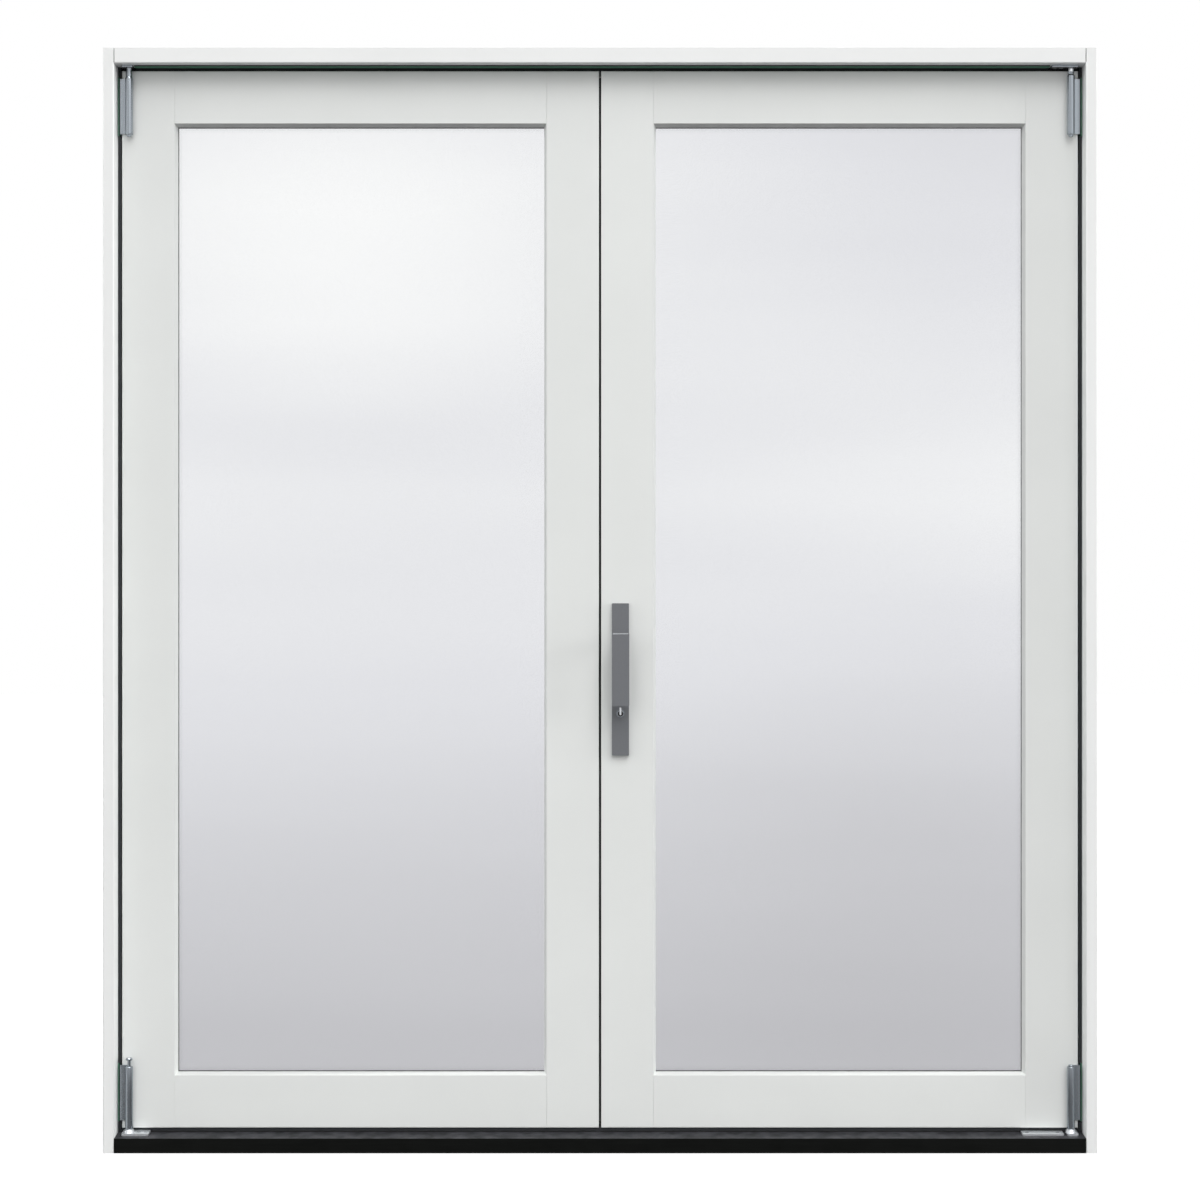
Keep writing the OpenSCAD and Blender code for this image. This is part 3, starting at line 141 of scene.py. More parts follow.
class Graph:
    """Adds and links nodes in one node tree."""

    def __init__(self, tree: bpy.types.NodeTree) -> None:
        """Keep the tree that the nodes go into."""
        self.tree = tree

    def add(self, kind: str, **settings: object) -> bpy.types.Node:
        """Add a node and set its properties.

        Args:
            kind: Blender's name for the node type.
            **settings: Properties of the node.

        Returns:
            The new node.
        """
        node = self.tree.nodes.new(kind)
        for name, value in settings.items():
            setattr(node, name, value)
        return node

    def feed(self, socket: Socket, value: Value) -> None:
        """Link a socket to another one, or set its value.

        Args:
            socket: The socket that is fed.
            value: Another socket or a plain value.
        """
        if isinstance(value, bpy.types.NodeSocket):
            self.tree.links.new(value, socket)
        else:
            socket.default_value = value

    def math(self, operation: str, *values: Value) -> Socket:
        """Do one sum.

        Args:
            operation: Blender's name for the sum.
            *values: Its numbers or sockets in order.

        Returns:
            The socket that holds the result.
        """
        node = self.add("ShaderNodeMath", operation=operation)
        for socket, value in zip(node.inputs, values):
            self.feed(socket, value)
        return node.outputs[0]

    def vector(self, operation: str, *values: Union[Triple, Socket]) -> bpy.types.Node:
        """Do one sum on vectors.

        Args:
            operation: Blender's name for the sum.
            *values: Its vectors or sockets in order.

        Returns:
            The node that holds the result.
        """
        node = self.add("ShaderNodeVectorMath", operation=operation)
        for socket, value in zip(node.inputs, values):
            self.feed(socket, value)
        return node

    def stretch(self, vector: Socket, scale: Triple) -> Socket:
        """Scale a vector by its own amount along each axis."""
        return self.vector("MULTIPLY", vector, scale).outputs["Vector"]

    def split(self, vector: Socket) -> bpy.types.Node:
        """Take a vector apart.

        Args:
            vector: The vector.

        Returns:
            The node with the outputs X, Y and Z.
        """
        node = self.add("ShaderNodeSeparateXYZ")
        self.feed(node.inputs["Vector"], vector)
        return node

    def noise(self, vector: Socket, scale: Value, detail: float = 2.0, roughness: float = 0.5) -> Socket:
        """Add a noise pattern.

        Args:
            vector: Where the pattern is read.
            scale: Size of the pattern.
            detail: How many finer layers it has.
            roughness: How strong the finer layers are.

        Returns:
            The socket with the pattern's value.
        """
        node = self.add("ShaderNodeTexNoise")
        values = {"Vector": vector, "Scale": scale, "Detail": detail, "Roughness": roughness}
        for name, value in values.items():
            self.feed(node.inputs[name], value)
        return node.outputs["Fac"]

    def span(self, value: Socket, source: Span, target: Span = FULL) -> Socket:
        """Map a value from one range to another, held at the ends.

        Args:
            value: The socket to map.
            source: Range that comes in.
            target: Range that goes out.

        Returns:
            The socket with the mapped value.
        """
        node = self.add("ShaderNodeMapRange", clamp=True)
        self.feed(node.inputs["Value"], value)
        for name, number in zip(("From Min", "From Max", "To Min", "To Max"), (*source, *target)):
            node.inputs[name].default_value = number
        return node.outputs["Result"]

    def blend(self, mask: Value, first: Value, second: Value) -> Socket:
        """Blend two colours by a mask.

        Args:
            mask: 0 gives the first colour, 1 the second.
            first: Colour or socket.
            second: Colour or socket.

        Returns:
            The socket with the blended colour.
        """
        node = self.add("ShaderNodeMix", data_type="RGBA")
        self.feed(node.inputs["Factor"], mask)
        self.feed(node.inputs[MIX_FIRST], first)
        self.feed(node.inputs[MIX_SECOND], second)
        return node.outputs[MIX_RESULT]

    def mix(self, mask: Socket, first: bpy.types.Node, second: bpy.types.Node) -> bpy.types.Node:
        """Mix two shaders by a mask.

        Args:
            mask: 0 gives the first shader, 1 the second.
            first: Node of a shader.
            second: Node of a shader.

        Returns:
            The node with the mixed shader.
        """
        node = self.add("ShaderNodeMixShader")
        for socket, value in zip(node.inputs, (mask, first.outputs[0], second.outputs[0])):
            self.feed(socket, value)
        return node

    def bump(self, height: Socket, strength: float, depth_mm: float) -> Socket:
        """Turn a height into a bumped normal.

        Args:
            height: The height pattern.
            strength: How much of it shows.
            depth_mm: Depth of the full height.

        Returns:
            The socket with the normal.
        """
        node = self.add("ShaderNodeBump")
        values = {"Strength": strength, "Distance": depth_mm * MM, "Height": height}
        for name, value in values.items():
            self.feed(node.inputs[name], value)
        return node.outputs["Normal"]

    def place(self, grain: Grain) -> Socket:
        """Read the piece's own coordinates, turned along its grain.

        Args:
            grain: Which way the grain runs.

        Returns:
            The socket with the coordinates.
        """
        mapping = self.add("ShaderNodeMapping")
        mapping.inputs["Rotation"].default_value = grain.turn
        self.feed(mapping.inputs["Vector"], self.add("ShaderNodeTexCoord").outputs["Object"])
        return mapping.outputs["Vector"]

    def group(self, tree: bpy.types.NodeTree, **inputs: Value) -> bpy.types.Node:
        """Place a shared pattern and set its inputs.

        Args:
            tree: The shared node group.
            **inputs: Values by input name, with underscores for spaces.

        Returns:
            The group's node.
        """
        node = self.add("ShaderNodeGroup", node_tree=tree)
        for name, value in inputs.items():
            self.feed(node.inputs[name.replace("_", " ")], value)
        return node


def open_group(name: str, inputs: Dict[str, float],
               outputs: Sequence[str]) -> Tuple[Graph, bpy.types.Node, bpy.types.Node]:
    """Start a shared pattern with a vector, some numbers and some values out.

    Args:
        name: Name of the group.
        inputs: Number inputs with their defaults.
        outputs: Names of the value outputs.

    Returns:
        The graph, its input node and its output node.
    """
    tree = bpy.data.node_groups.new(name, "ShaderNodeTree")
    tree.interface.new_socket("Vector", in_out="INPUT", socket_type="NodeSocketVector")
    for label, default in inputs.items():
        socket = tree.interface.new_socket(label, in_out="INPUT", socket_type="NodeSocketFloat")
        socket.default_value = default
    for label in outputs:
        tree.interface.new_socket(label, in_out="OUTPUT", socket_type="NodeSocketFloat")
    graph = Graph(tree)
    return graph, graph.add("NodeGroupInput"), graph.add("NodeGroupOutput")


@dataclass(frozen=True)
class PaintFilm:
    """Pattern of a sprayed paint film over planed timber."""

    grain_scale: float = 260.0
    peel_scale: float = 700.0
    cloud_scale: float = 4.0
    gloss_scale: float = 30.0
    fibres: Triple = (1.0, 1.0, 0.03)
    grain_share: float = 0.7
    peel_share: float = 0.3

    def build(self) -> bpy.types.NodeTree:
        """Build the pattern.

        Returns:
            The node group.
        """
        scales = {"Grain Scale": self.grain_scale, "Peel Scale": self.peel_scale}
        graph, given, out = open_group("paint_film", scales, ("Tone", "Gloss", "Height"))
        place = given.outputs["Vector"]
        fibres = graph.stretch(place, self.fibres)
        grain = graph.noise(fibres, given.outputs["Grain Scale"], detail=3.0, roughness=0.6)
        peel = graph.noise(place, given.outputs["Peel Scale"], detail=1.0)
        lines = graph.math("MULTIPLY", grain, self.grain_share)
        graph.feed(out.inputs["Tone"], graph.noise(place, self.cloud_scale, detail=3.0))
        graph.feed(out.inputs["Gloss"], graph.noise(place, self.gloss_scale))
        graph.feed(out.inputs["Height"], graph.math("MULTIPLY_ADD", peel, self.peel_share, lines))
        return graph.tree


@dataclass(frozen=True)
class MetalSkin:
    """Pattern of a plated or brushed metal skin."""

    streak_scale: float = 900.0
    spangle_scale: float = 180.0
    drawn: Triple = (1.0, 1.0, 0.05)

    def build(self) -> bpy.types.NodeTree:
        """Build the pattern.

        Returns:
            The node group.
        """
        scales = {"Streak Scale": self.streak_scale, "Spangle Scale": self.spangle_scale}
        graph, given, out = open_group("metal_skin", scales, ("Streak", "Spangle", "Height"))
        place = given.outputs["Vector"]
        streak = graph.noise(graph.stretch(place, self.drawn), given.outputs["Streak Scale"], roughness=0.7)
        cells = graph.add("ShaderNodeTexVoronoi", feature="F1")
        graph.feed(cells.inputs["Vector"], place)
        graph.feed(cells.inputs["Scale"], given.outputs["Spangle Scale"])
        parts = graph.add("ShaderNodeSeparateColor")
        graph.feed(parts.inputs["Color"], cells.outputs["Color"])
        for label, value in (("Streak", streak), ("Spangle", parts.outputs["Red"]), ("Height", streak)):
            graph.feed(out.inputs[label], value)
        return graph.tree


@dataclass(frozen=True)
class FacingPatches:
    """Mask in patches that lies only on faces that look up, or only on those that look down."""

    name: str
    label: str
    scale: float
    facing: Tuple[Span, Span]
    patches: Tuple[Span, Span]
    detail: float
    roughness: float

    def build(self) -> bpy.types.NodeTree:
        """Build the pattern.

        Returns:
            The node group.
        """
        scale = f"{self.label} Scale"
        graph, given, out = open_group(self.name, {scale: self.scale}, (self.label,))
        normal = graph.split(graph.add("ShaderNodeNewGeometry").outputs["Normal"])
        looks = graph.span(normal.outputs["Z"], *self.facing)
        patches = graph.noise(given.outputs["Vector"], given.outputs[scale], self.detail, self.roughness)
        graph.feed(out.inputs[self.label], graph.math("MULTIPLY", looks, graph.span(patches, *self.patches)))
        return graph.tree


class PatternLibrary:
    """Shared surface patterns, each built once as a node group."""

    def __init__(self) -> None:
        """Build every shared pattern."""
        # Paler patches on faces that look up: dust, and painted light on the sill's lit top.
        dust = FacingPatches("settled_dust", "Dust", 60.0, facing=((0.55, 0.95), FULL),
                          patches=((0.35, 0.7), (0.35, 1.0)), detail=4.0, roughness=0.6)
        # Darker patches on faces that look down: painted shade under the head brackets.
        oil = FacingPatches("painted_shade_below", "Oil", 90.0, facing=((-0.9, -0.5), (1.0, 0.0)),
                         patches=(MIDDLE, (0.8, 1.0)), detail=3.0, roughness=0.5)
        self.paint_film = PaintFilm().build()
        self.metal_skin = MetalSkin().build()
        self.settled_dust = dust.build()
        self.painted_shade_below = oil.build()


def new_material(name: str) -> Tuple[Material, Graph, bpy.types.Node]:
    """Make a material with one main shader.

    Args:
        name: Name of the material.

    Returns:
        The material, its graph and its main shader node.
    """
    material = bpy.data.materials.new(name)
    material.use_nodes = True
    return material, Graph(material.node_tree), material.node_tree.nodes["Principled BSDF"]


@dataclass(frozen=True)
class PaintedTimber:
    """Satin paint on planed timber."""

    name: str
    colour: Colour
    shade: Colour
    roughness: Span = (0.36, 0.48)
    bump_mm: float = 0.05
    bump_share: float = 0.5

    def material(self, patterns: PatternLibrary, grain: Grain) -> Material:
        """Build the finish for members whose grain runs one way.

        Args:
            patterns: The shared patterns.
            grain: Which way the timber runs.

        Returns:
            The material.
        """
        material, graph, shader = new_material(f"{self.name}_{grain.name.lower()}")
        film = graph.group(patterns.paint_film, Vector=graph.place(grain)).outputs
        tone = graph.span(film["Tone"], MIDDLE)
        graph.feed(shader.inputs["Base Color"], graph.blend(tone, self.colour, self.shade))
        graph.feed(shader.inputs["Roughness"], graph.span(film["Gloss"], MIDDLE, self.roughness))
        graph.feed(shader.inputs["Normal"], graph.bump(film["Height"], self.bump_share, self.bump_mm))
        return material


@dataclass(frozen=True)
class StainedSill:
    """Black stained hardwood with paler patches on its top: dust, and painted light where the top faces the
    lamps.
    """

    name: str
    colour: Colour
    pore: Colour
    dust: Colour
    pale_top_amount: float = 0.5
    pale_top_scale: float = 45.0
    grain_scale: float = 320.0
    peel_scale: float = 500.0
    pores: Span = (0.35, 0.65)
    roughness: Span = (0.42, 0.6)
    bump_mm: float = 0.12
    bump_share: float = 0.6
    shine: float = 0.15

    def material(self, patterns: PatternLibrary) -> Material:
        """Build the finish.

        Args:
            patterns: The shared patterns.

        Returns:
            The material.
        """
        material, graph, shader = new_material(self.name)
        place = graph.place(Grain.ACROSS)
        film = graph.group(patterns.paint_film, Vector=place, Grain_Scale=self.grain_scale,
                           Peel_Scale=self.peel_scale).outputs
        # Paler patches on the top: dust, and painted light where the top faces the lamps.
        dust = graph.group(patterns.settled_dust, Vector=place, Dust_Scale=self.pale_top_scale).outputs["Dust"]
        wood = graph.blend(graph.span(film["Height"], self.pores), self.colour, self.pore)
        amount = graph.math("MULTIPLY", dust, self.pale_top_amount)
        graph.feed(shader.inputs["Base Color"], graph.blend(amount, wood, self.dust))
        graph.feed(shader.inputs["Roughness"], graph.span(film["Gloss"], MIDDLE, self.roughness))
        graph.feed(shader.inputs["Normal"], graph.bump(film["Height"], self.bump_share, self.bump_mm))
        shader.inputs["Specular IOR Level"].default_value = self.shine
        return material


@dataclass(frozen=True)
class MetalFinish:
    """Plated or brushed metal, with painted shade on faces that look down where a colour for it is given."""

    name: str
    bright: Colour
    dull: Colour
    roughness: Span
    streak_scale: float
    spangle_scale: float
    spangle_share: float
    oil: Optional[Colour] = None
    streaks: Span = (0.25, 0.75)
    bump_mm: float = 0.01
    bump_share: float = 0.15

    def material(self, patterns: PatternLibrary, grain: Grain) -> Material:
        """Build the finish for pieces that are drawn or brushed one way.

        Args:
            patterns: The shared patterns.
            grain: Which way the brushing runs.

        Returns:
            The material.
        """
        material, graph, shader = new_material(f"{self.name}_{grain.name.lower()}")
        place = graph.place(grain)
        skin = graph.group(patterns.metal_skin, Vector=place, Streak_Scale=self.streak_scale,
                           Spangle_Scale=self.spangle_scale).outputs
        share = graph.math("MULTIPLY", skin["Spangle"], self.spangle_share)
        tone = graph.math("MULTIPLY_ADD", skin["Streak"], 1.0 - self.spangle_share, share)
        colour = graph.blend(tone, self.bright, self.dull)
        # Painted shade: a darker colour on faces that look down.
        if self.oil is not None:
            oil = graph.group(patterns.painted_shade_below, Vector=place).outputs["Oil"]
            colour = graph.blend(oil, colour, self.oil)
        graph.feed(shader.inputs["Base Color"], colour)
        graph.feed(shader.inputs["Roughness"], graph.span(skin["Streak"], self.streaks, self.roughness))
        graph.feed(shader.inputs["Normal"], graph.bump(skin["Height"], self.bump_share, self.bump_mm))
        shader.inputs["Metallic"].default_value = 1.0
        return material


@dataclass(frozen=True)
class GrittyFinish:
    """Powder coat, rubber or moulded plastic: one colour with a fine grit."""

    name: str
    colour: Colour
    fleck: Colour
    roughness: Span
    grit_scale: float
    bump_mm: float
    grit_roughness: float = 0.6
    flecks: Span = (0.45, 0.75)
    bump_share: float = 0.5

    def material(self, patterns: PatternLibrary) -> Material:
        """Build the finish.

        Args:
            patterns: The shared patterns.

        Returns:
            The material.
        """
        material, graph, shader = new_material(self.name)
        place = graph.place(Grain.UPRIGHT)
        grit = graph.noise(place, self.grit_scale, roughness=self.grit_roughness)
        film = graph.group(patterns.paint_film, Vector=place, Peel_Scale=self.grit_scale).outputs
        mask = graph.span(grit, self.flecks)
        graph.feed(shader.inputs["Base Color"], graph.blend(mask, self.colour, self.fleck))
        graph.feed(shader.inputs["Roughness"], graph.span(film["Gloss"], MIDDLE, self.roughness))
        graph.feed(shader.inputs["Normal"], graph.bump(grit, self.bump_share, self.bump_mm))
        return material


@dataclass(frozen=True)
class ClearGlass:
    """Float glass with the faint waviness of a real pane."""

    name: str
    colour: Colour
    speck: Colour
    speck_scale: float = 420.0
    specks: Span = (0.35, 0.65)
    wave_scale: float = 3.0
    wave_mm: float = 0.02
    wave_share: float = 0.1
    refraction: float = 1.5

    def material(self) -> Material:
        """Build the finish.

        Returns:
            The material.
        """
        material, graph, shader = new_material(self.name)
        place = graph.place(Grain.UPRIGHT)
        wave = graph.noise(place, self.wave_scale, detail=1.0)
        mask = graph.span(graph.noise(place, self.speck_scale, detail=1.0), self.specks)
        graph.feed(shader.inputs["Base Color"], graph.blend(mask, self.colour, self.speck))
        graph.feed(shader.inputs["Normal"], graph.bump(wave, self.wave_share, self.wave_mm))
        shader.inputs["Roughness"].default_value = 0.0
        shader.inputs["IOR"].default_value = self.refraction
        shader.inputs["Transmission Weight"].default_value = 1.0
        return material


class FinishBook:
    """All finishes of the doors, made once."""

    def __init__(self, patterns: PatternLibrary) -> None:
        """Make every material.

        Args:
            patterns: The shared patterns.
        """
        def metal(name: str, bright: Triple, dull: Triple, rough: Span, *pattern: float) -> MetalFinish:
            """Set out one metal from its screen colours."""
            return MetalFinish(name, srgb(*bright), srgb(*dull), rough, *pattern)

        def gritty(name: str, colour: Triple, fleck: Triple, rough: Span, *pattern: float) -> Material:
            """Make one gritty finish from its screen colours."""
            return GrittyFinish(name, srgb(*colour), srgb(*fleck), rough, *pattern).material(patterns)

        jamb = PaintedTimber("jamb_paint", srgb(241, 242, 241), srgb(238, 239, 238))
        head = PaintedTimber("head_paint", srgb(242, 243, 242), srgb(239, 240, 239))
        # The leaves' paint is the frame's white made darker: painted shade for the leaves set back behind
        # the frame.
        leaf = PaintedTimber("leaf_paint", srgb(233, 235, 233), srgb(229, 231, 229))
        zinc = metal("zinc_plate", (173, 180, 187), (163, 170, 177), (0.16, 0.24), 700.0, 300.0, 0.15)
        # Zinc with painted shade on faces that look down, for the head brackets.
        shaded_zinc = replace(zinc, name="zinc_shaded_below", oil=srgb(84, 82, 82))
        cast = metal("cast_zinc", (246, 248, 250), (222, 226, 230), (0.34, 0.48), 300.0, 420.0, 0.35)
        steel = metal("brushed_steel", (205, 207, 210), (170, 173, 177), (0.22, 0.36), 1200.0, 90.0, 0.1)
        polished = metal("polished_plate", (240, 243, 246), (226, 229, 233), (0.1, 0.18), 900.0, 90.0, 0.1)
        # The sill's pale top colour stands for dust and painted light together.
        sill = StainedSill("sill_stain", srgb(11, 13, 11), srgb(5, 6, 5), srgb(96, 97, 102))
        self.jamb_paint = jamb.material(patterns, Grain.UPRIGHT)
        self.head_paint = head.material(patterns, Grain.ACROSS)
        self.leaf_paint = {grain: leaf.material(patterns, grain) for grain in Grain}
        self.zinc = zinc.material(patterns, Grain.UPRIGHT)
        self.shaded_zinc = shaded_zinc.material(patterns, Grain.ACROSS)
        self.cast = cast.material(patterns, Grain.ACROSS)
        self.steel = {grain: steel.material(patterns, grain) for grain in Grain}
        self.polished = polished.material(patterns, Grain.UPRIGHT)
        self.sill = sill.material(patterns)
        self.graphite = gritty("graphite_coat", (108, 110, 114), (116, 118, 122), (0.42, 0.55), 1400.0, 0.03)
        self.rubber = gritty("black_rubber", (31, 34, 38), (40, 43, 47), (0.6, 0.8), 900.0, 0.04)
        self.green_rubber = gritty("green_rubber", (78, 124, 102), (88, 136, 114), (0.6, 0.8), 900.0, 0.04)
        self.grey_rubber = gritty("grey_rubber", (60, 62, 65), (70, 72, 75), (0.6, 0.8), 900.0, 0.04)
        self.plastic = gritty("black_plastic", (44, 45, 47), (52, 53, 56), (0.4, 0.55), 700.0, 0.02)
        # Grey of the screw crosses: painted shade for the hollow of each cross drive.
        self.drive = gritty("screw_drive_painted_shade", (112, 114, 117), (124, 126, 129), (0.4, 0.6), 900.0, 0.02)
        self.seam = gritty("paint_seam", (112, 113, 114), (126, 127, 128), (0.5, 0.7), 500.0, 0.03)
        # Black of the meeting seal and the turn piece's face, also used as painted shadow under the head and
        # at the foot of the sill seal.
        self.black_and_shadow = gritty("black_and_painted_shadow", (26, 26, 28), (34, 34, 36), (0.5, 0.7), 900.0, 0.02)
        self.glass = ClearGlass("pane_glass", srgb(255, 255, 255), srgb(252, 252, 252)).material()


def dress(node: str, material: Material, round_mm: float = 0.0, segments: int = 2) -> None:
    """Give a CAD node one material and round its hard edges a little.

    Args:
        node: Name of the node.
        material: Its finish.
        round_mm: Width of the round, or 0 to leave the edges sharp.
        segments: Steps across the round.
    """
    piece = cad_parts[node]
    piece.data.materials.clear()
    piece.data.materials.append(material)
    LOG.info("dressed %s in %s", node, material.name)
    if round_mm > 0.0:
        weld = piece.modifiers.new("join", "WELD")
        weld.merge_threshold = WELD
        bevel = piece.modifiers.new("round", "BEVEL")
        bevel.width = round_mm * MM
        bevel.segments = segments
        bevel.limit_method = "ANGLE"
        bevel.angle_limit = SHARP
        bevel.profile = ROUND


def add_piece(name: str, shape: Shape, material: Material, body: str) -> None:
    """Turn a finished shape into a piece that moves with a body.

    Args:
        name: Name of the piece.
        shape: Its shape, which is freed.
        material: Its finish.
        body: Body that carries it.
    """
    bmesh.ops.recalc_face_normals(shape, faces=shape.faces[:])
    mesh = bpy.data.meshes.new(name)
    shape.to_mesh(mesh)
    shape.free()
    mesh.materials.append(material)
    piece = bpy.data.objects.new(name, mesh)
    bpy.context.scene.collection.objects.link(piece)
    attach(piece, body)
    LOG.info("added %s with %d faces", name, len(mesh.polygons))


def sweep(shape: Shape, outline: Sequence[Vector], along: Vector) -> None:
    """Extrude a closed outline in a straight line.

    Args:
        shape: Shape that takes the bar.
        outline: Corners of the outline in order.
        along: Where the outline is moved to.
    """
    face = shape.faces.new([shape.verts.new(corner) for corner in outline])
    moved = bmesh.ops.extrude_face_region(shape, geom=[face])["geom"]
    ends = [part for part in moved if isinstance(part, bmesh.types.BMVert)]
    bmesh.ops.translate(shape, vec=along, verts=ends)


def strip(start: Vector, profile: Sequence[Span], length: float) -> Shape:
    """Draw a bar that runs along X.

    Args:
        start: Zero of the profile, at the bar's left end.
        profile: Depth and height of its corners in order.
        length: Length of the bar.

    Returns:
        The new shape.
    """
    shape = bmesh.new()
    outline = [Vector((start.x, start.y + depth, start.z + rise)) for depth, rise in profile]
    sweep(shape, outline, Vector((length, 0.0, 0.0)))
    return shape


def ring(centre: Vector, profile: Sequence[Span], axis: Vector) -> Shape:
    """Turn a closed profile round an axis.

    Args:
        centre: Zero of the profile, on the axis.
        profile: Radius and place along the axis of its corners in order.
        axis: Direction of the axis.

    Returns:
        The new shape.
    """
    shape = bmesh.new()
    outline = [centre + Vector((radius, 0.0, 0.0)) + along * axis for radius, along in profile]
    corners = [shape.verts.new(corner) for corner in outline]
    edges = [shape.edges.new((a, b)) for a, b in zip(corners, corners[1:] + corners[:1])]
    bmesh.ops.spin(shape, geom=corners + edges, cent=centre, axis=axis, dvec=(0.0, 0.0, 0.0),
                   angle=2.0 * math.pi, steps=TURN_STEPS, use_merge=True)
    return shape


def solids(node: str) -> List[List[Vector]]:
    """Sort the corners of a CAD node by the separate solids in it.

    Args:
        node: Name of the node.

    Returns:
        The corners of each solid.
    """
    shape = bmesh.new()
    shape.from_mesh(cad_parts[node].data)
    bmesh.ops.remove_doubles(shape, verts=shape.verts[:], dist=WELD)
    found = []
    left = set(shape.verts)
    while left:
        solid, rim = set(), {left.pop()}
        while rim:
            vert = rim.pop()
            solid.add(vert)
            rim |= {edge.other_vert(vert) for edge in vert.link_edges} - solid
        left -= solid
        found.append([vert.co.copy() for vert in solid])
    shape.free()
    return found


def box_of(points: Sequence[Vector]) -> Box:
    """Lowest and highest corner of some points."""
    return (Vector([min(p[i] for p in points) for i in range(3)]),
            Vector([max(p[i] for p in points) for i in range(3)]))


def width(box: Box) -> float:
    """Size of a box along X."""
    return box[1].x - box[0].x


@dataclass(frozen=True)
class ScrewHead:
    """Where a screw's head ends and which way it looks."""

    centre: Vector
    outward: Vector
    radius: float

    @classmethod
    def of(cls, points: Sequence[Vector]) -> "ScrewHead":
        """Find the head among the corners of one screw.

        Args:
            points: The screw's corners.

        Returns:
            Its head.
        """
        low, high = box_of(points)
        size = tuple(high - low)
        axis = max(range(3), key=lambda i: abs(2.0 * size[i] - size[i - 1] - size[i - 2]))
        beside = (axis + 1) % 3
        middle = (low + high) / 2
        reach = {}
        for end in (low[axis], high[axis]):
            rim = [p for p in points if abs(p[axis] - end) < FLUSH]
            reach[end] = max(abs(p[beside] - middle[beside]) for p in rim)
        end = max(reach, key=lambda key: reach[key])
        outward = Vector((0.0, 0.0, 0.0))
        outward[axis] = math.copysign(1.0, end - middle[axis])
        middle[axis] = end
        return cls(middle, outward, reach[end])


@dataclass
class ScrewDrives:
    """Grey crosses set into the heads of all screws of one node: painted shade for their cross drives."""

    node: str
    body: str
    reach: float = 0.6
    width: float = 0.15
    sunk_mm: float = 0.4
    proud_mm: float = 0.05

    def build(self, book: FinishBook) -> None:
        """Draw a cross in every head.

        Args:
            book: The finishes.
        """
        shape = bmesh.new()
        for screw in solids(self.node):
            self._cross(shape, ScrewHead.of(screw))
        add_piece(f"{self.node}_drives", shape, book.drive, self.body)

    def _cross(self, shape: Shape, head: ScrewHead) -> None:
        """Add one cross, let into a head.

        Args:
            shape: Shape that takes it.
            head: The screw's head.
        """
        far, near = head.radius * self.reach, head.radius * self.width
        verts = bmesh.ops.create_grid(shape, x_segments=3, y_segments=3, size=1.0)["verts"]
        for vert in verts:
            for i in range(2):
                vert.co[i] = math.copysign(far if round(abs(vert.co[i])) else near, vert.co[i])
        faces = list({face for vert in verts for face in vert.link_faces})
        corners = [face for face in faces if min(abs(c) for c in face.calc_center_median()[:2]) > near]
        plate = [face for face in faces if face not in corners]
        bmesh.ops.delete(shape, geom=corners, context="FACES")
        low = list({vert for face in plate for vert in face.verts})
        moved = bmesh.ops.extrude_face_region(shape, geom=plate)["geom"]
        high = [part for part in moved if isinstance(part, bmesh.types.BMVert)]
        bmesh.ops.translate(shape, vec=-self.sunk_mm * MM * UP, verts=low)
        bmesh.ops.translate(shape, vec=self.proud_mm * MM * UP, verts=high)
        turn = head.outward.to_track_quat("Z", "Y").to_matrix().to_4x4()
        bmesh.ops.transform(shape, matrix=Matrix.Translation(head.centre) @ turn, verts=low + high)


@dataclass
class LeverHighlight:
    """Bright steel strip along the top edge of a lever's face: a painted highlight where the rounded edge
    catches the light.
    """

    face: Face
    inset_mm: float = 1.5
    height_mm: float = 1.8
    wrap_mm: float = 1.8
    proud_mm: float = 0.15

    def build(self, book: FinishBook) -> None:
        """Fold a thin strip over the lever's top edge.

        Args:
            book: The finishes.
        """
        lever = f"{self.face.value}_lever"
        low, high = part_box(lever)
        front, inward = (low.y, 1.0) if self.face is Face.OUTSIDE else (high.y, -1.0)
        inset, proud, wrap, height = (
            size * MM for size in (self.inset_mm, self.proud_mm, self.wrap_mm, self.height_mm))
        section = [(-proud, -height), (-proud, -proud), (proud, proud), (wrap, proud), (wrap, -height)]
        profile = [(inward * depth, rise) for depth, rise in section]
        shape = strip(Vector((low.x + inset, front, high.z)), profile, high.x - low.x - 2 * inset)
        # Bright steel on the dark lever: a painted highlight along its top edge.
        add_piece(f"{lever}_trim", shape, book.steel[Grain.ACROSS], "lever_set")


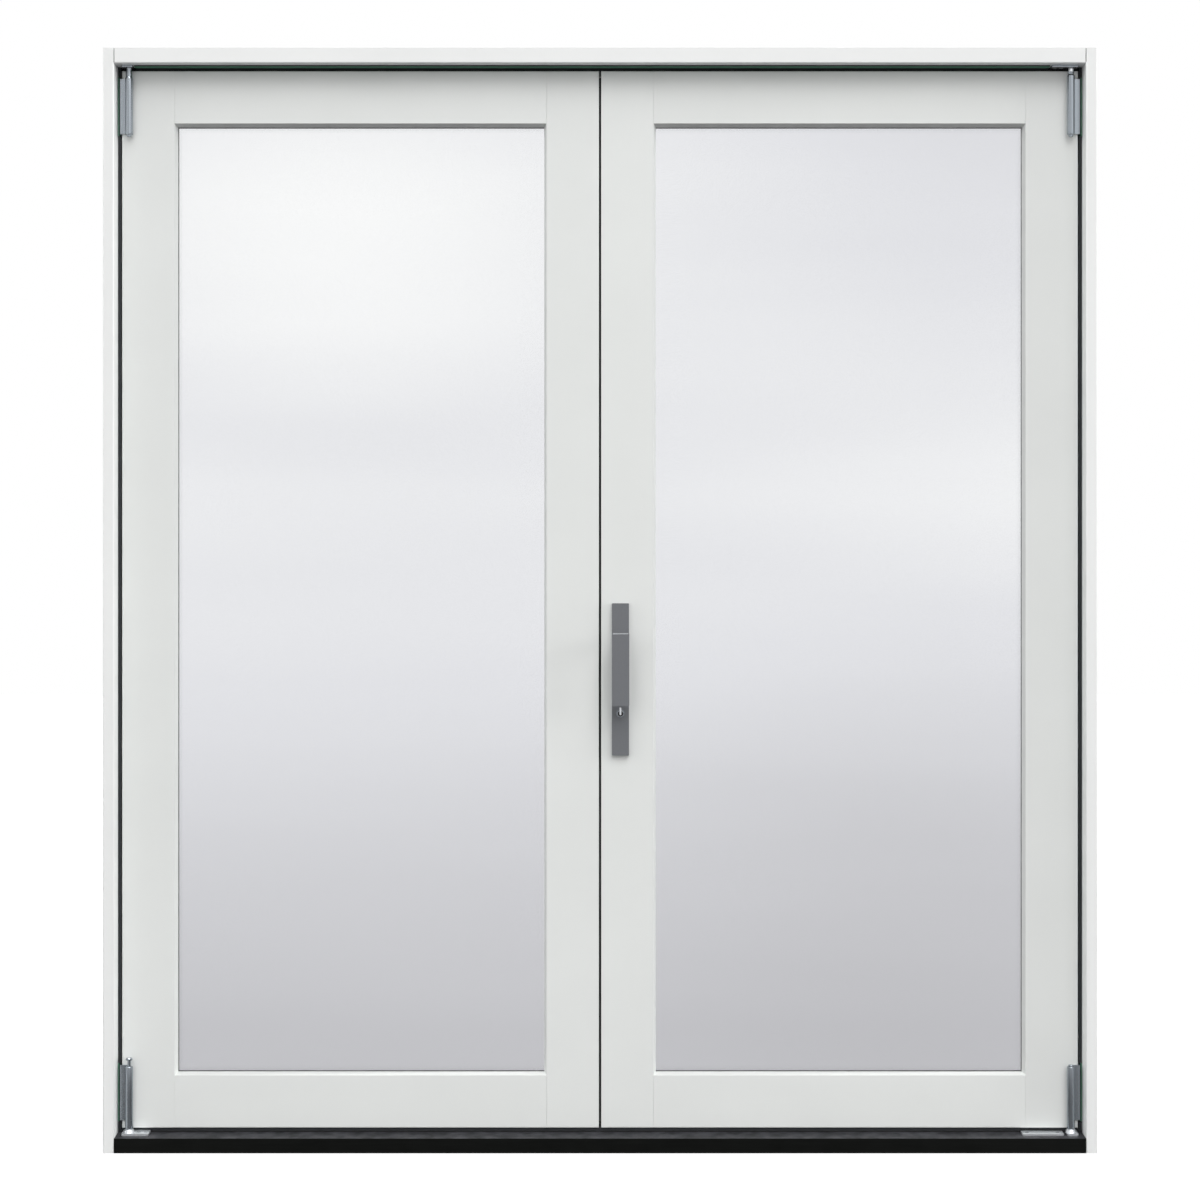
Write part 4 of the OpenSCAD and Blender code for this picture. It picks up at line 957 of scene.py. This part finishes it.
@dataclass
class ThumbTurn:
    """Outside of the lock's turn piece: a rose on the plate, a dark face and a bright thumb bar."""

    rose_w_mm: float = 1.5
    rose_proud_mm: float = 1.6
    play_mm: float = 0.2
    bore_mm: float = 0.1
    face_set_mm: float = 0.4
    face_proud_mm: float = 0.05
    edge_parts: int = 3
    bar_half_mm: float = 1.7
    bar_low_mm: float = 2.5
    bar_high_mm: float = 12.0
    bar_proud_mm: float = 3.5
    bar_steps: int = 3
    corner_mm: float = 0.9
    sunk_mm: float = 0.4

    def build(self, book: FinishBook) -> None:
        """Add rose, face and bar.

        Args:
            book: The finishes.
        """
        low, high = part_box("turn_piece")
        centre = Vector(((low.x + high.x) / 2, low.y, (low.z + high.z) / 2))
        plug = [v.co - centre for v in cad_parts["turn_piece"].data.vertices if v.co.y < low.y + NEAR]
        radius = max(math.hypot(offset.x, offset.z) for offset in plug)
        plate = Vector((centre.x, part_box("outside_plate")[0].y, centre.z))
        inner = radius + self.play_mm * MM
        face = self._disc(centre, (self.bore_mm * MM, radius - self.face_set_mm * MM), self.face_proud_mm)
        rose = self._disc(plate, (inner, inner + self.rose_w_mm * MM), self.rose_proud_mm)
        add_piece("turn_piece_face", face, book.black_and_shadow, "turn_piece")
        add_piece("turn_piece_rose", rose, book.zinc, "right_leaf")
        add_piece("turn_piece_bar", self._bar(centre), book.polished, "turn_piece")

    def _bar(self, centre: Vector) -> Shape:
        """Draw the upright thumb bar with rounded front edges.

        Args:
            centre: Middle of the plug's face.

        Returns:
            The new shape.
        """
        half, cut, low, high = self.bar_half_mm, self.corner_mm, -self.bar_low_mm, self.bar_high_mm
        profile = [(cut - half, low), (half - cut, low), (half, cut + low), (half, high - cut),
                   (half - cut, high), (cut - half, high), (-half, high - cut), (-half, cut + low)]
        back = centre + self.sunk_mm * MM * DEEP
        outline = [back + Vector((across * MM, 0.0, rise * MM)) for across, rise in profile]
        shape = bmesh.new()
        sweep(shape, outline, -(self.sunk_mm + self.bar_proud_mm) * MM * DEEP)
        front = min(vert.co.y for vert in shape.verts)
        rim = [edge for edge in shape.edges if all(vert.co.y < front + WELD for vert in edge.verts)]
        bmesh.ops.bevel(shape, geom=rim, offset=cut * MM / 2, affect="EDGES", segments=self.bar_steps,
                        profile=ROUND, material=-1)
        return shape

    def _disc(self, centre: Vector, radii: Span, proud_mm: float) -> Shape:
        """Turn a ring with softened edges onto a face.

        Args:
            centre: Middle of the face.
            radii: Inside and outside radius.
            proud_mm: How far it stands out.

        Returns:
            The new shape.
        """
        inner, outer = radii
        front, back = -proud_mm * MM, self.sunk_mm * MM
        edge = min(proud_mm * MM, (outer - inner) / self.edge_parts)
        profile = [(inner, back), (inner, front + edge), (inner + edge, front), (outer - edge, front),
                   (outer, front + edge), (outer, back)]
        return ring(centre, profile, DEEP)


@dataclass
class HeadStripShadows:
    """Black bands before and behind the green strip under the head: painted shadow in the gap before the
    strip and in the gap above the leaves.
    """

    depth_mm: float = 2.0
    drop_mm: float = 1.6
    skirt_mm: float = 6.0
    skirt_drop_mm: float = 1.4

    def build(self, book: FinishBook) -> None:
        """Lay both bands of painted shadow along the strip.

        Args:
            book: The finishes.
        """
        low, high = max((box_of(solid) for solid in solids("weather_strips")), key=width)
        depth, drop, skirt, fall = (
            size * MM for size in (self.depth_mm, self.drop_mm, self.skirt_mm, self.skirt_drop_mm))
        rise, back = high.z - low.z, high.y - low.y
        # Both profiles are painted shadow: a black lip before the strip and a black apron behind it.
        lip = [(0.0, rise), (-depth, rise), (-depth, rise - drop / 2), (-depth / 2, rise - drop),
               (0.0, rise - drop)]
        apron = [(back, 0.0), (back - skirt, 0.0), (back - skirt + fall, -fall), (back, -fall)]
        for name, profile in (("head_strip_front_shadow", lip), ("head_strip_back_shadow", apron)):
            add_piece(name, strip(low, profile, high.x - low.x), book.black_and_shadow, "frame")


@dataclass
class SillSweep:
    """Grey face of the seal under the leaves, with a black band at its base that is a painted shadow line.
    """

    face_mm: float = 0.4
    foot_mm: float = 2.0
    foot_h_mm: float = 1.5
    sunk_mm: float = 0.3

    def build(self, book: FinishBook) -> None:
        """Lay the face, and the painted shadow at its base, along the seal.

        Args:
            book: The finishes.
        """
        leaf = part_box("left_bottom_rail")[0].z
        boxes = (box_of(solid) for solid in solids("stop_seal"))
        low, high = max((box for box in boxes if box[1].z < leaf), key=width)
        sunk, face, foot, foot_h = (
            size * MM for size in (self.sunk_mm, self.face_mm, self.foot_mm, self.foot_h_mm))
        rise = high.z - low.z
        band = [(sunk, foot_h), (-face, foot_h), (-face, rise - face), (0.0, rise), (sunk, rise)]
        # The black band at the seal's base is a painted shadow line.
        bead = [(sunk, 0.0), (-foot, 0.0), (-foot, foot_h / 2), (-foot / 2, foot_h), (sunk, foot_h)]
        for part, profile, material in (("face", band, book.grey_rubber), ("foot", bead, book.black_and_shadow)):
            shape = strip(low, profile, high.x - low.x)
            add_piece(f"sill_seal_{part}", shape, material, "frame")


def top_pivot(side: Side) -> Vector:
    """Foot point of a top hinge's axis.

    Args:
        side: Which leaf it carries.

    Returns:
        Where the axis meets the floor.
    """
    pins = [box_of(solid) for solid in solids("pivot_pins")]
    low, high = max((box for box in pins if side.sign * box[0].x > 0.0), key=lambda box: box[1].z)
    return Vector(((low.x + high.x) / 2, (low.y + high.y) / 2, 0.0))


@dataclass
class PivotCollar:
    """Bright ring round the neck of the right top bracket."""

    height_mm: float = 7.0
    reach_mm: float = 6.0
    over_mm: float = 0.15
    sunk_mm: float = 0.2
    lip_mm: float = 0.8

    def build(self, book: FinishBook) -> None:
        """Turn the ring onto the neck.

        Args:
            book: The finishes.
        """
        centre = top_pivot(Side.RIGHT)
        corners = [vert.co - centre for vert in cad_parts["top_right_bracket"].data.vertices]
        places = [(math.hypot(corner.x, corner.y), corner.z) for corner in corners]
        neck = [place for place in places if place[0] < self.reach_mm * MM]
        radius = max(place[0] for place in neck)
        high = max(place[1] for place in neck if place[0] > radius - self.over_mm * MM)
        low, lip = high - self.height_mm * MM, self.lip_mm * MM
        inner, outer = radius - self.sunk_mm * MM, radius + self.over_mm * MM
        profile = [(inner, low), (outer - lip / 2, low), (outer, low + lip), (outer, high - lip),
                   (inner, high)]
        add_piece("right_top_collar", ring(centre, profile, UP), book.polished, "frame")


@dataclass
class BarrelSleeve:
    """Slim tapered sleeve that carries the left top barrel up to the leaf's top."""

    play_mm: float = 0.3
    neck_mm: float = 4.8
    low_mm: float = 9.0
    over_mm: float = 0.06
    taper_mm: float = 1.0
    lip_mm: float = 0.5

    def build(self, book: FinishBook) -> None:
        """Turn the sleeve round the pivot.

        Args:
            book: The finishes.
        """
        centre = top_pivot(Side.LEFT)
        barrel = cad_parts["left_top_hinge"].data.vertices
        bottom = min(vert.co.z for vert in barrel)
        round_end = [vert.co - centre for vert in barrel if vert.co.z < bottom + NEAR]
        radius = max(math.hypot(offset.x, offset.y) for offset in round_end) + self.over_mm * MM
        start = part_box("left_top_hinge")[1].z - self.low_mm * MM
        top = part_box("left_hinge_stile")[1].z
        inner = (self.neck_mm + self.play_mm) * MM
        lip, slim = self.lip_mm * MM, radius - self.taper_mm * MM
        profile = [(inner, start), (radius, start), (slim, top - lip), (slim - lip, top), (inner, top)]
        add_piece("left_top_sleeve", ring(centre, profile, UP), book.zinc, "left_leaf")


@dataclass
class FrameSeams:
    """Hairline joints between the head's front and the jambs."""

    width_mm: float = 0.9
    proud_mm: float = 0.05
    sunk_mm: float = 0.6
    clear_share: float = 0.25

    def build(self, book: FinishBook) -> None:
        """Draw both joints.

        Args:
            book: The finishes.
        """
        low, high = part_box("head")
        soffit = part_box("left_top_rail")[1].z
        half, proud, sunk = self.width_mm * MM / 2, self.proud_mm * MM, self.sunk_mm * MM
        bottom = soffit + (high.z - soffit) * self.clear_share
        profile = [(-half, sunk), (-half, -proud), (half, -proud), (half, sunk)]
        shape = bmesh.new()
        for x in (low.x, high.x):
            outline = [Vector((x + across, low.y + depth, bottom)) for across, depth in profile]
            sweep(shape, outline, (high.z - bottom - sunk) * UP)
        add_piece("head_joint_lines", shape, book.seam, "frame")


@dataclass
class HingeStrips:
    """Short green strips on the jambs where the gap seals make room for the hinges."""

    width_mm: float = 2.2
    depth_mm: float = 5.0
    round_mm: float = 0.8

    def build(self, book: FinishBook) -> None:
        """Fill every gap between the jambs' seals.

        Args:
            book: The finishes.
        """
        leaf_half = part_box("right_hinge_stile")[1].x
        wide, deep, cut = self.width_mm * MM, self.depth_mm * MM, self.round_mm * MM
        profile = [(0.0, 0.0), (wide - cut, 0.0), (wide, cut), (wide, deep), (0.0, deep)]
        seals = sorted((box_of(solid) for solid in solids("stop_seal")), key=lambda box: box[0].z)
        shape = bmesh.new()
        for side in Side:
            beside = [box for box in seals if all(side.sign * corner.x > leaf_half for corner in box)]
            for below, above in zip(beside, beside[1:]):
                x = below[0 if side is Side.LEFT else 1].x
                outline = [Vector((x - side.sign * across, below[0].y + depth, below[1].z))
                           for across, depth in profile]
                sweep(shape, outline, (above[0].z - below[1].z) * UP)
        add_piece("hinge_gap_strips", shape, book.green_rubber, "frame")


@dataclass
class FrameSet:
    """Jambs, head, sill, seals and the hardware that is screwed to them."""

    edge_round_mm: float = 0.8
    metal_round_mm: float = 0.5
    jambs: Sequence[str] = ("left_jamb", "right_jamb")
    head_brackets: Sequence[str] = ("top_left_bracket", "top_right_bracket")
    sill_brackets: Sequence[str] = ("bottom_left_bracket", "bottom_right_bracket", "sill_strip")
    brushed: Sequence[str] = ("head_keeps", "sill_keeps", "frame_screws")

    def dress(self, book: FinishBook) -> None:
        """Dress every piece of the frame.

        Args:
            book: The finishes.
        """
        for node in self.jambs:
            dress(node, book.jamb_paint, self.edge_round_mm)
        dress("head", book.head_paint, self.edge_round_mm)
        dress("sill", book.sill, self.edge_round_mm)
        dress("stop_seal", book.rubber)
        dress("weather_strips", book.green_rubber)
        # The head brackets carry painted shade on their undersides.
        for node in self.head_brackets:
            dress(node, book.shaded_zinc, self.metal_round_mm)
        for node in self.sill_brackets:
            dress(node, book.cast, self.metal_round_mm)
        dress("pivot_pins", book.zinc)
        for node in self.brushed:
            dress(node, book.steel[Grain.ACROSS])


@dataclass
class Leaf:
    """One glazed leaf with its hinges."""

    side: Side
    edge_round_mm: float = 0.6
    metal_round_mm: float = 0.8
    metal_steps: int = 3

    def node(self, part: str) -> str:
        """Name of one of this leaf's nodes."""
        return f"{self.side.value}_{part}"

    def dress(self, book: FinishBook) -> None:
        """Dress every piece of the leaf.

        Args:
            book: The finishes.
        """
        for part in ("hinge_stile", "meeting_stile"):
            dress(self.node(part), book.leaf_paint[Grain.UPRIGHT], self.edge_round_mm)
        for part in ("top_rail", "bottom_rail"):
            dress(self.node(part), book.leaf_paint[Grain.ACROSS], self.edge_round_mm)
        dress(self.node("beads"), book.leaf_paint[Grain.UPRIGHT])
        for part in ("outer_pane", "inner_pane"):
            dress(self.node(part), book.glass)
        for part in ("spacer", "setting_blocks"):
            dress(self.node(part), book.plastic)
        dress(self.node("tapes"), book.rubber)
        for part in ("top_hinge", "bottom_hinge"):
            dress(self.node(part), book.zinc, self.metal_round_mm, self.metal_steps)
        dress(self.node("screws"), book.steel[Grain.ACROSS])


@dataclass
class LockSet:
    """Handle, lock, rods and bolts of both meeting edges."""

    edge_round_mm: float = 0.5
    coated: Sequence[str] = ("outside_plate", "inside_plate", "outside_lever", "inside_lever")
    plated: Sequence[str] = ("top_rod", "bottom_rod", "deadbolt", "top_flush_bolt", "bottom_flush_bolt")
    brushed: Sequence[str] = ("forend", "deadbolt_keep", "flush_bolt_plates", "lock_case", "lock_cover",
                              "lock_screws", "spindle", "drive_pinion", "turn_piece")

    def dress(self, book: FinishBook) -> None:
        """Dress every piece of the lock.

        Args:
            book: The finishes.
        """
        for node in self.coated:
            dress(node, book.graphite, self.edge_round_mm)
        for node in self.plated:
            dress(node, book.zinc)
        for node in self.brushed:
            dress(node, book.steel[Grain.UPRIGHT])
        dress("meeting_seal", book.black_and_shadow)


@dataclass(frozen=True)
class Glow:
    """A soft patch of painted light, or of painted shade where its strength is below zero, in what is seen
    through the panes.
    """

    across: float
    height: float
    spread: Span
    strength: float
    fall_off: float = 2.0

    def add(self, graph: Graph, direction: Socket, level: Socket) -> Socket:
        """Add the patch to a brightness.

        Args:
            graph: The graph to build in.
            direction: Direction of the view.
            level: Brightness so far.

        Returns:
            The brightness with the patch.
        """
        offset = graph.vector("SUBTRACT", direction, (self.across, 0.0, self.height)).outputs["Vector"]
        scaled = graph.stretch(offset, (1.0 / self.spread[0], 0.0, 1.0 / self.spread[1]))
        square = graph.vector("DOT_PRODUCT", scaled, scaled).outputs["Value"]
        inside = graph.math("MAXIMUM", graph.math("SUBTRACT", 1.0, square), 0.0)
        patch = graph.math("MULTIPLY", graph.math("POWER", inside, self.fall_off), self.strength)
        return graph.math("ADD", level, patch)


@dataclass(frozen=True)
class BroadSun:
    """A distant lamp with a broad disc."""

    name: str
    source: Triple
    spread_deg: float
    strength: float
    mirrored: bool

    def hang(self) -> None:
        """Hang the lamp so that it shines from its source."""
        data = bpy.data.lights.new(self.name, "SUN")
        data.energy = self.strength
        data.angle = math.radians(self.spread_deg)
        lamp = bpy.data.objects.new(self.name, data)
        bpy.context.scene.collection.objects.link(lamp)
        lamp.rotation_euler = Vector(self.source).to_track_quat("Z", "Y").to_euler()
        lamp.visible_glossy = self.mirrored
        lamp.visible_transmission = False


@dataclass
class Studio:
    """Camera, lamps, floor and background."""

    camera_distance: float = 4.2
    lens_mm: float = 70.0
    sensor_mm: float = 36.0
    camera_lift: float = 0.001
    camera_reach: float = 100.0
    front_light: float = 0.6
    back_light: float = 2.64
    right_light: float = 0.97
    left_light: float = 2.37
    suns: Sequence[BroadSun] = (
        BroadSun("key_lamp", (0.15, -0.5, 0.85), 50.0, 2.05, True),
        BroadSun("right_lamp", (0.96, -0.18, 0.2), 25.0, 1.64, False),
        BroadSun("left_lamp", (-0.96, -0.18, 0.2), 25.0, 0.79, False),
    )
    mirror_level: float = 0.78
    strip_level: float = 0.35
    strip_from: Span = (0.15, 0.22)
    strip_to: Span = (0.75, 0.9)
    strip_ahead: Span = (-0.3, 0.0)
    # Seen through the panes: darker towards the bottom, painted shadow of the doors on the floor behind
    # them.
    dim_view: Colour = srgb(191, 191, 195)
    mid_view: Colour = srgb(228, 229, 233)
    bright_view: Colour = srgb(252, 253, 253)
    mid_place: float = 0.6
    view_range: Span = (-0.22, 0.05)
    view_level: Span = (0.08, 0.72)
    view_tilt: float = 0.06
    band_shape: Triple = (2.0, 2.0, 16.0)
    band_scale: float = 1.0
    band_level: Span = (-0.06, 0.06)
    glows: Sequence[Glow] = (
        Glow(-0.11, 0.15, (0.16, 0.09), 0.26),
        Glow(0.2, 0.21, (0.2, 0.15), -0.22),
        Glow(0.2, 0.04, (0.2, 0.05), 0.12),
        Glow(-0.1, 0.08, (0.3, 0.035), -0.06),
        Glow(0.12, -0.14, (0.14, 0.16), -0.08),
    )
    floor_half: float = 20.0
    floor_seen: Colour = srgb(232, 232, 234)
    floor_bounce: Colour = srgb(120, 120, 121)
    floor_white: float = 0.8
    floor_glow: float = 1.1
    floor_mirror: Span = (0.18, 1.0)
    floor_fade: Span = (-1.0, 4.3)
    fade_base: float = 2.0

    def build(self) -> None:
        """Set up the whole studio."""
        self._camera()
        self._world()
        self._floor()
        for sun in self.suns:
            sun.hang()
        bpy.context.scene.view_settings.view_transform = "Standard"

    def _camera(self) -> None:
        """Place the camera square in front of the doors."""
        low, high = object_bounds()
        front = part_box("left_jamb")[0].y
        data = bpy.data.cameras.new("camera")
        data.lens = self.lens_mm
        data.sensor_width = self.sensor_mm
        data.clip_end = self.camera_reach
        camera = bpy.data.objects.new("camera", data)
        bpy.context.scene.collection.objects.link(camera)
        height = (low.z + high.z) / 2 + self.camera_lift
        camera.location = (0.0, front - self.camera_distance, height)
        camera.rotation_euler = (math.pi / 2, 0.0, 0.0)
        bpy.context.scene.camera = camera

    def _view_through(self, graph: Graph, direction: Socket) -> Socket:
        """Make what is seen through the panes: darker towards the bottom, painted shadow of the doors on the
        floor behind them, with faint bands and soft patches of painted light and shade.

        Args:
            graph: The world's graph.
            direction: Direction of the view.

        Returns:
            The socket with the colour.
        """
        parts = graph.split(direction).outputs
        slant = graph.math("MULTIPLY", parts["X"], -self.view_tilt)
        level = graph.span(graph.math("ADD", parts["Z"], slant), self.view_range, self.view_level)
        level.node.interpolation_type = "SMOOTHSTEP"
        for glow in self.glows:
            level = glow.add(graph, direction, level)
        bands = graph.noise(graph.stretch(direction, self.band_shape), self.band_scale)
        level = graph.math("ADD", level, graph.span(bands, MIDDLE, self.band_level))
        ramp = graph.add("ShaderNodeValToRGB")
        ramp.color_ramp.elements[0].color = self.dim_view
        ramp.color_ramp.elements[1].color = self.bright_view
        ramp.color_ramp.elements.new(self.mid_place).color = self.mid_view
        graph.feed(ramp.inputs["Fac"], level)
        return ramp.outputs["Color"]

    def _mirrored_room(self, graph: Graph, direction: Socket) -> Socket:
        """Make what shiny pieces mirror: an even room with one bright upright strip on the right.

        Args:
            graph: The world's graph.
            direction: Direction of the view.

        Returns:
            The socket with the brightness.
        """
        parts = graph.split(direction).outputs
        rise = graph.span(parts["X"], self.strip_from, (0.0, self.strip_level))
        fall = graph.span(parts["X"], self.strip_to, (1.0, 0.0))
        ahead = graph.span(parts["Y"], self.strip_ahead, (1.0, 0.0))
        bright = graph.math("MULTIPLY", graph.math("MULTIPLY", rise, fall), ahead)
        return graph.math("ADD", bright, self.mirror_level)

    def _sky_level(self, graph: Graph, direction: Socket) -> Socket:
        """Make the light of the room, which fills in from behind, from the front and from both sides.

        Args:
            graph: The world's graph.
            direction: Direction of the view.

        Returns:
            The socket with the strength.
        """
        parts = graph.split(direction).outputs

        def share(axis: str, sign: float, strength: float) -> Socket:
            """Light that grows towards one end of an axis."""
            toward = graph.math("MAXIMUM", graph.math("MULTIPLY", parts[axis], sign), 0.0)
            return graph.math("MULTIPLY", toward, strength)

        sides = graph.math("ADD", share("X", 1.0, self.right_light), share("X", -1.0, self.left_light))
        ahead = graph.math("MULTIPLY", graph.math("ADD", sides, self.front_light), share("Y", -1.0, 1.0))
        return graph.math("ADD", ahead, share("Y", 1.0, self.back_light))

    def _world(self) -> None:
        """Make a white background that lights the doors at a plain level."""
        world = bpy.data.worlds.new("studio")
        world.use_nodes = True
        bpy.context.scene.world = world
        graph = Graph(world.node_tree)
        world.node_tree.nodes.clear()
        rays = graph.add("ShaderNodeLightPath").outputs
        direction = graph.add("ShaderNodeTexCoord").outputs["Generated"]
        seen = graph.blend(rays["Is Glossy Ray"], WHITE, self._mirrored_room(graph, direction))
        seen = graph.blend(rays["Is Transmission Ray"], seen, self._view_through(graph, direction))
        clear = graph.math("MAXIMUM", rays["Is Camera Ray"], rays["Is Glossy Ray"])
        clear = graph.math("MAXIMUM", clear, rays["Is Transmission Ray"])
        picture = graph.add("ShaderNodeBackground")
        graph.feed(picture.inputs["Color"], seen)
        light = graph.add("ShaderNodeBackground")
        graph.feed(light.inputs["Strength"], self._sky_level(graph, direction))
        out = graph.add("ShaderNodeOutputWorld")
        graph.feed(out.inputs["Surface"], graph.mix(clear, light, picture).outputs[0])

    def _floor(self) -> None:
        """Lay a pale floor that keeps the doors' shadow."""
        mesh = bpy.data.meshes.new("floor")
        shape = bmesh.new()
        bmesh.ops.create_grid(shape, x_segments=1, y_segments=1, size=self.floor_half)
        shape.to_mesh(mesh)
        shape.free()
        floor = bpy.data.objects.new("floor", mesh)
        bpy.context.scene.collection.objects.link(floor)
        mesh.materials.append(self._floor_material())
        floor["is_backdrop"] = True

    def _floor_material(self) -> Material:
        """Make a floor that looks white, throws back little light, shows painted shade near the doors in
        reflections and is left out behind the panes.

        Returns:
            The material.
        """
        material, graph, shader = new_material("pale_floor")
        rays = graph.add("ShaderNodeLightPath").outputs
        camera = rays["Is Camera Ray"]
        graph.feed(shader.inputs["Base Color"], graph.blend(camera, self.floor_bounce, self.floor_seen))
        shader.inputs["Roughness"].default_value = 1.0
        shader.inputs["Specular IOR Level"].default_value = 0.0
        glow = graph.add("ShaderNodeEmission")
        glow.inputs["Strength"].default_value = self.floor_glow
        # In reflections the floor glows dimly close to the doors and fully far off: painted shade round the
        # doors.
        far = graph.vector("LENGTH", graph.add("ShaderNodeTexCoord").outputs["Object"]).outputs["Value"]
        distance = graph.math("LOGARITHM", far, self.fade_base)
        low, high = (share * self.mirror_level for share in self.floor_mirror)
        mirror = graph.add("ShaderNodeEmission")
        graph.feed(mirror.inputs["Strength"], graph.span(distance, self.floor_fade, (low, high)))
        lit = graph.mix(graph.math("MULTIPLY", camera, self.floor_white), shader, glow)
        shiny = graph.mix(rays["Is Glossy Ray"], lit, mirror)
        mixed = graph.mix(rays["Is Transmission Ray"], shiny, graph.add("ShaderNodeBsdfTransparent"))
        graph.feed(material.node_tree.nodes["Material Output"].inputs["Surface"], mixed.outputs[0])
        return material


def main() -> None:
    """Dress the doors and set up the studio."""
    logging.basicConfig(level=logging.INFO, format="%(name)s: %(message)s")
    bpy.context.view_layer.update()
    book = FinishBook(PatternLibrary())
    for part in (FrameSet(), *(Leaf(side) for side in Side), LockSet()):
        part.dress(book)
    drives = [ScrewDrives(node, body) for node, body in SCREWS.items()]
    highlights = [LeverHighlight(face) for face in Face]
    for part in (*drives, *highlights, ThumbTurn(), HeadStripShadows(), SillSweep(), BarrelSleeve(), PivotCollar(),
                 FrameSeams(), HingeStrips()):
        part.build(book)
    Studio().build()


if __name__ == "__main__":
    main()
